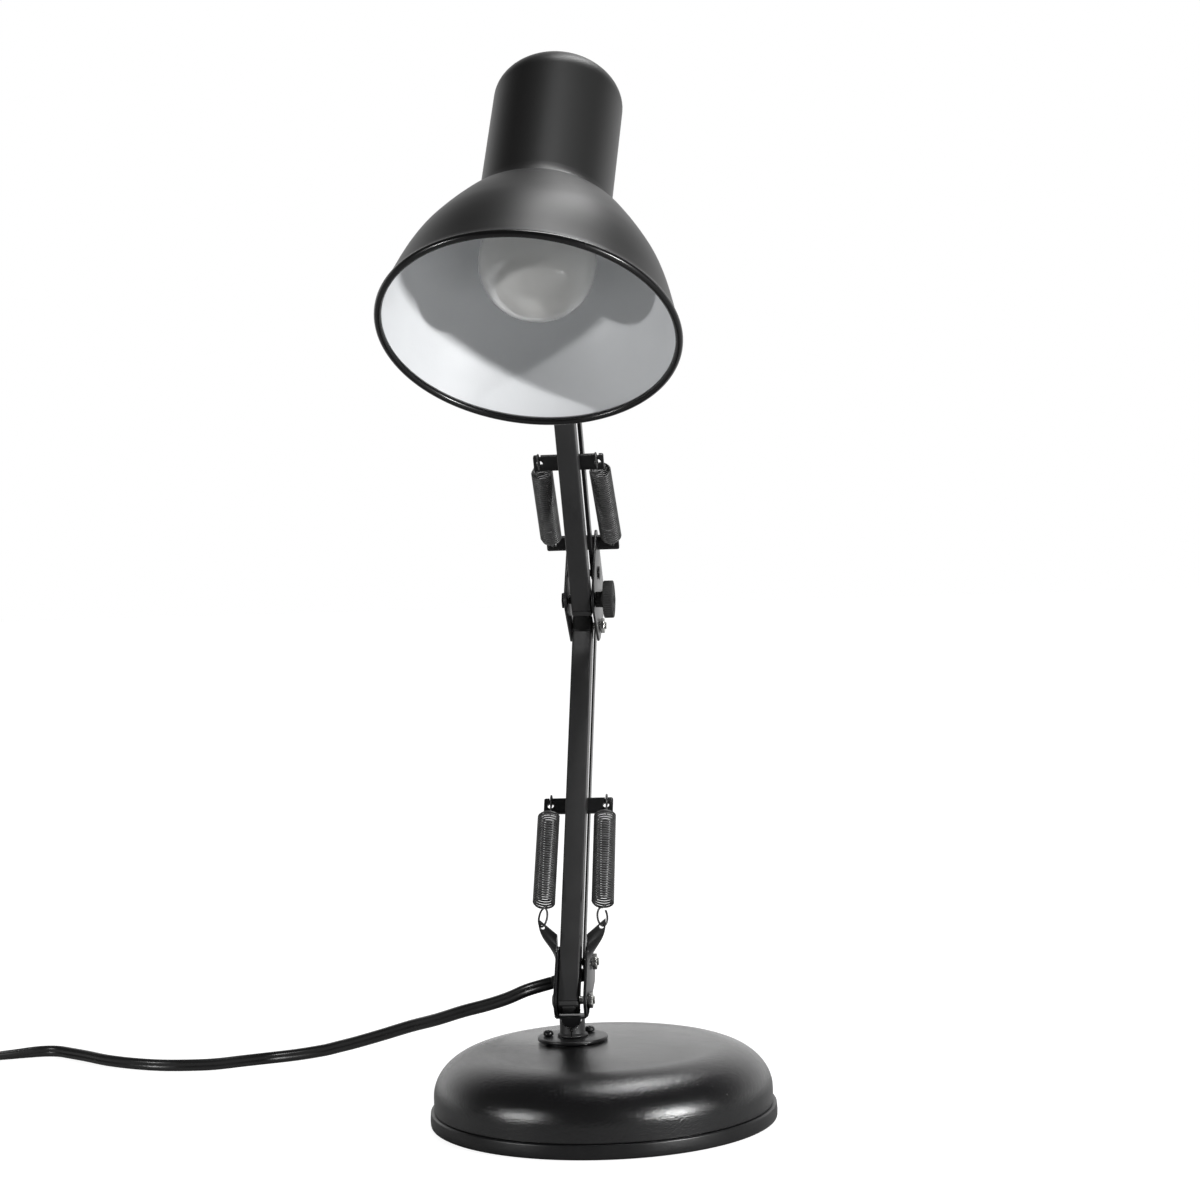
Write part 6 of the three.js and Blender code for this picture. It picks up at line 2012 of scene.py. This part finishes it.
@dataclass
class Shade:
    """Bell-shaped shade with its bulb, lampholder, strap and switch, along its own axis."""

    rim_r: float = 69.0
    neck_r: float = 30.9
    wall: float = 0.9
    bell_line: tuple[Point2, ...] = (
        (69.4, 0.0), (66.75, 8.7), (64.15, 17.5), (61.2, 26.2), (57.4, 35.0), (53.0, 42.8),
        (48.75, 49.6), (44.8, 55.4), (41.3, 60.2), (38.3, 63.4), (36.2, 65.3), (34.4, 66.5),
        (33.0, 67.5), (32.0, 69.2), (31.35, 71.6), (30.95, 74.6),
    )
    long: float = 158.7
    cap_h: float = 22.4
    cap_round: float = 1.34
    cap_steps: int = 24
    bell_spans: int = 4
    bead_r: float = 1.75
    bead_out: float = 1.1
    black_in: float = 1.0
    bulb_r: float = 27.5
    bulb_s: float = 40.0
    bulb_neck: float = 12.6
    bulb_throat: tuple[Point2, ...] = ((14.2, 25.6), (13.1, 29.5), (12.6, 34.0))
    holder_low: float = 80.0
    holder_top: float = 128.0
    holder_r: float = 19.0
    holder_bore: float = 14.0
    holder_lip: float = 21.0
    strap_sheet: float = 2.0
    strap_depth: float = 12.0
    strap_eye: float = 3.35
    foot_long: float = 24.0
    foot_sheet: float = 1.5
    switch_s: float = 86.0
    switch_bore: float = 3.35
    steps: int = 144

    def skin(self, inset: float) -> list[Point2]:
        """The shade's line from just over the rim to the crown.

        Args:
            inset: How far inside the outer skin it lies.

        Returns:
            The line's points.
        """
        places = [Vector((radius, 0, s)) for radius, s in self.bell_line]
        line = smooth_line(places, self.bell_spans)
        points = [(spot.x - inset, spot.z) for spot in line if spot.z > self.bead_r]
        low = self.long - self.cap_h
        points.append((self.neck_r - inset, low - 0.5))
        for k in range(self.cap_steps):
            angle = QUARTER * k / self.cap_steps
            radius = (self.neck_r - inset) * math.cos(angle) ** self.cap_round
            points.append((radius, low + (self.cap_h - inset) * math.sin(angle)))
        points.append((0.0, self.long - inset))
        return points

    def build(self) -> None:
        """Makes the shade and all that tilts with it."""
        self.build_shell()
        self.build_strap()
        self.build_bulb()
        self.build_holder()
        self.build_switch()

    def build_shell(self) -> None:
        """The spun shell: black outside, white inside, with a rolled black rim."""
        inner = self.skin(self.wall)
        outer = self.skin(0.0)
        middle = self.rim_r + self.bead_out - self.bead_r
        bead = [
            (middle + self.bead_r * math.cos(a), self.bead_r * math.sin(a))
            for a in (math.radians(140 + 280 * k / 16) for k in range(17))
        ]
        profile = [*inner[::-1], *bead, *outer]
        part = lathe(profile, self.steps)
        for face in part.faces:
            spot = face.calc_center_median()
            outward = face.normal.dot(Vector((spot.x, spot.y, 0)))
            if outward < 0 and spot.z > self.bead_r + self.black_in:
                face.material_index = 2
            elif spot.z < self.bead_r + self.black_in:
                face.material_index = 1
        made = Piece("shade_shell", SHADE_PAINT, SHADE_RIM, SHADE_WHITE)
        made.add(part, LAMP.shade_axis())
        made.fit("shade", Slot.SHADE_PAINT, "shade")

    def build_strap(self) -> None:
        """The strap from the neck's back to the tilt pin, with its curved foot."""
        seat = self.neck_r + LAMP.gap
        back, s = LAMP.tilt_in_shade()
        low, high = s - self.strap_depth / 2 + 1, s + self.strap_depth / 2 - 1
        near = seat + self.foot_sheet
        outline = wrap_discs([(near, low, 1.0), (back, s, self.strap_depth / 2), (near, high, 1.0)])
        web = slab(outline, self.strap_sheet, 0.3)
        move(web, sideways(-self.strap_sheet / 2))
        eye = bar(self.strap_eye, 8.0)
        move(eye, sideways(-4.0, (back, s)))
        ring = tube_section(seat, near, s - self.foot_long / 2, s + self.foot_long / 2)
        foot = lathe(soften(ring, 0.4, 2, closed=True), 144, closed=True)
        away = block((200.0, 200.0, 200.0))
        move(away, shift(0, self.neck_r * 0.9 - 100.0, s))
        made = Piece("shade_arm", PLATE_PAINT)
        made.add(carve(web, eye), LAMP.shade_axis())
        made.add(carve(foot, away), LAMP.shade_axis())
        made.fit("shade", Slot.SATIN_BLACK, "shade_strap")

    def build_bulb(self) -> None:
        """The round pearl bulb, a shell of glass, and its cap."""
        throat = math.acos((self.bulb_neck + 3.3) / self.bulb_r)
        globe = [(0.0, self.bulb_s - self.bulb_r)]
        for k in range(1, 29):
            angle = -QUARTER + (QUARTER + throat) * k / 28
            up = self.bulb_s + self.bulb_r * math.sin(angle)
            globe.append((self.bulb_r * math.cos(angle), up))
        top = self.holder_low - LAMP.gap
        globe += [(radius, self.bulb_s + up) for radius, up in self.bulb_throat]
        globe += [(self.bulb_neck, top), (0.0, top)]
        made = Piece("bulb_glass", BULB_GLASS)
        made.add(lathe(globe, 96), LAMP.shade_axis())
        made.fit("shade", Slot.OPAL, "bulb_globe")
        dress_node("bulb_cap", ZINC)

    def build_holder(self) -> None:
        """The lampholder with its ribbed skirt, and its hollow nipple."""
        low, top = self.holder_low, self.holder_top
        floor = low + 32.0
        deep = self.holder_r - 0.6
        profile = [(0.0, floor), (self.holder_bore, floor), (self.holder_bore, low)]
        profile += [(self.holder_lip, low), (self.holder_lip, low + 4.0)]
        profile.append((self.holder_r, low + 4.0))
        for k in range(6):
            at = low + 8.0 + 2.6 * k
            profile += [(self.holder_r, at), (deep, at + 0.5), (deep, at + 1.1)]
            profile.append((self.holder_r, at + 1.6))
        profile += [(self.holder_r, top), (self.holder_r / 2, top + 4.0), (0.0, top + 4.0)]
        made = Piece("bulb_holder", PLASTIC)
        made.add(lathe(soften(profile, 0.3, 2), 72), LAMP.shade_axis())
        made.fit("shade", Slot.BLACK_PLASTIC, "lampholder")
        dress_node("holder_nipple", ZINC)

    def build_switch(self) -> None:
        """The push switch in the neck's back, and its button."""
        collar = self.neck_r + LAMP.gap
        face = collar + 2.4
        root, well = self.neck_r - 7.6, face - 4.0
        body = [(0.0, root), (5.0, root), (5.0, collar), (7.5, collar), (7.5, face)]
        body += [(self.switch_bore, face), (self.switch_bore, well), (0.0, well)]
        place = LAMP.shade_axis() @ shift(0, 0, self.switch_s) @ Matrix.Rotation(-QUARTER, 4, "X")
        made = Piece("push_switch", PLASTIC)
        made.add(lathe(soften(body, 0.5, 3), 48), place)
        made.fit("shade", Slot.BLACK_PLASTIC, "switch_body")
        low = face - 1.2 + LAMP.gap
        top = low + 5.2
        knob = [(0.0, low), (3.0, low), (3.0, top - 0.8), (2.2, top - 0.1), (0.0, top)]
        button = Piece("push_button", PLASTIC)
        button.add(lathe(soften(knob, 0.4, 3), 40), place)
        button.fit("button", Slot.BLACK_PLASTIC, "switch_button")


# ---------------------------------------------------------------- whole lamp


@dataclass
class DeskLamp:
    """The whole lamp, in the order in which it is put together."""

    camera: PhotoCamera = field(default_factory=PhotoCamera)
    cord: MainsCord = field(default_factory=MainsCord)
    base: Base = field(default_factory=Base)
    flange: Flange = field(default_factory=Flange)
    foot: Foot = field(default_factory=Foot)
    elbow: Elbow = field(default_factory=Elbow)
    head: Head = field(default_factory=Head)
    shade: Shade = field(default_factory=Shade)
    studio: Studio = field(default_factory=Studio)

    def arms(self) -> list[Arm]:
        """The lower and the upper arm."""
        lower = ArmSize(
            "lower", LAMP.foot, LAMP.lower_lean, LAMP.lower_reach, tail=2.6, top=4.0,
            bar_along=LAMP.lower_bar_along, bar_long=36.3, link_pivot=LAMP.foot_link,
            link_body="lower_rear_link", aside=-1.15, bar_aside=-0.8, bar_drop=1.2,
            hole_x=14.6, link_inside=3.7, link_sheet=1.0, top_block_painted_shade=10.5,
        )
        upper = ArmSize(
            "upper", LAMP.upper, -LAMP.upper_lean, LAMP.upper_reach, tail=6.0, top=3.6,
            bar_along=LAMP.upper_bar_along, bar_long=36.8, link_pivot=LAMP.upper_link,
            link_body="upper_rear_link", aside=0.75, bar_aside=0.0, bar_drop=0.0,
            hole_x=15.2, link_inside=4.3, link_sheet=1.9, round_end=True,
        )
        return [Arm(lower), Arm(upper)]

    def build(self) -> None:
        """Makes the camera and the cord, then every piece, then the studio."""
        self.camera.build()
        self.cord.build()
        for part in (self.base, self.flange, self.foot, *self.arms(), *springs()):
            part.build()
        for part in (self.elbow, self.head, self.shade, self.studio):
            part.build()


def main() -> None:
    """Builds the lamp and its studio."""
    logging.basicConfig(level=logging.INFO, format="%(name)s: %(message)s")
    scene = bpy.context.scene
    scene.view_settings.view_transform = "Standard"
    DeskLamp().build()


if __name__ == "__main__":
    main()
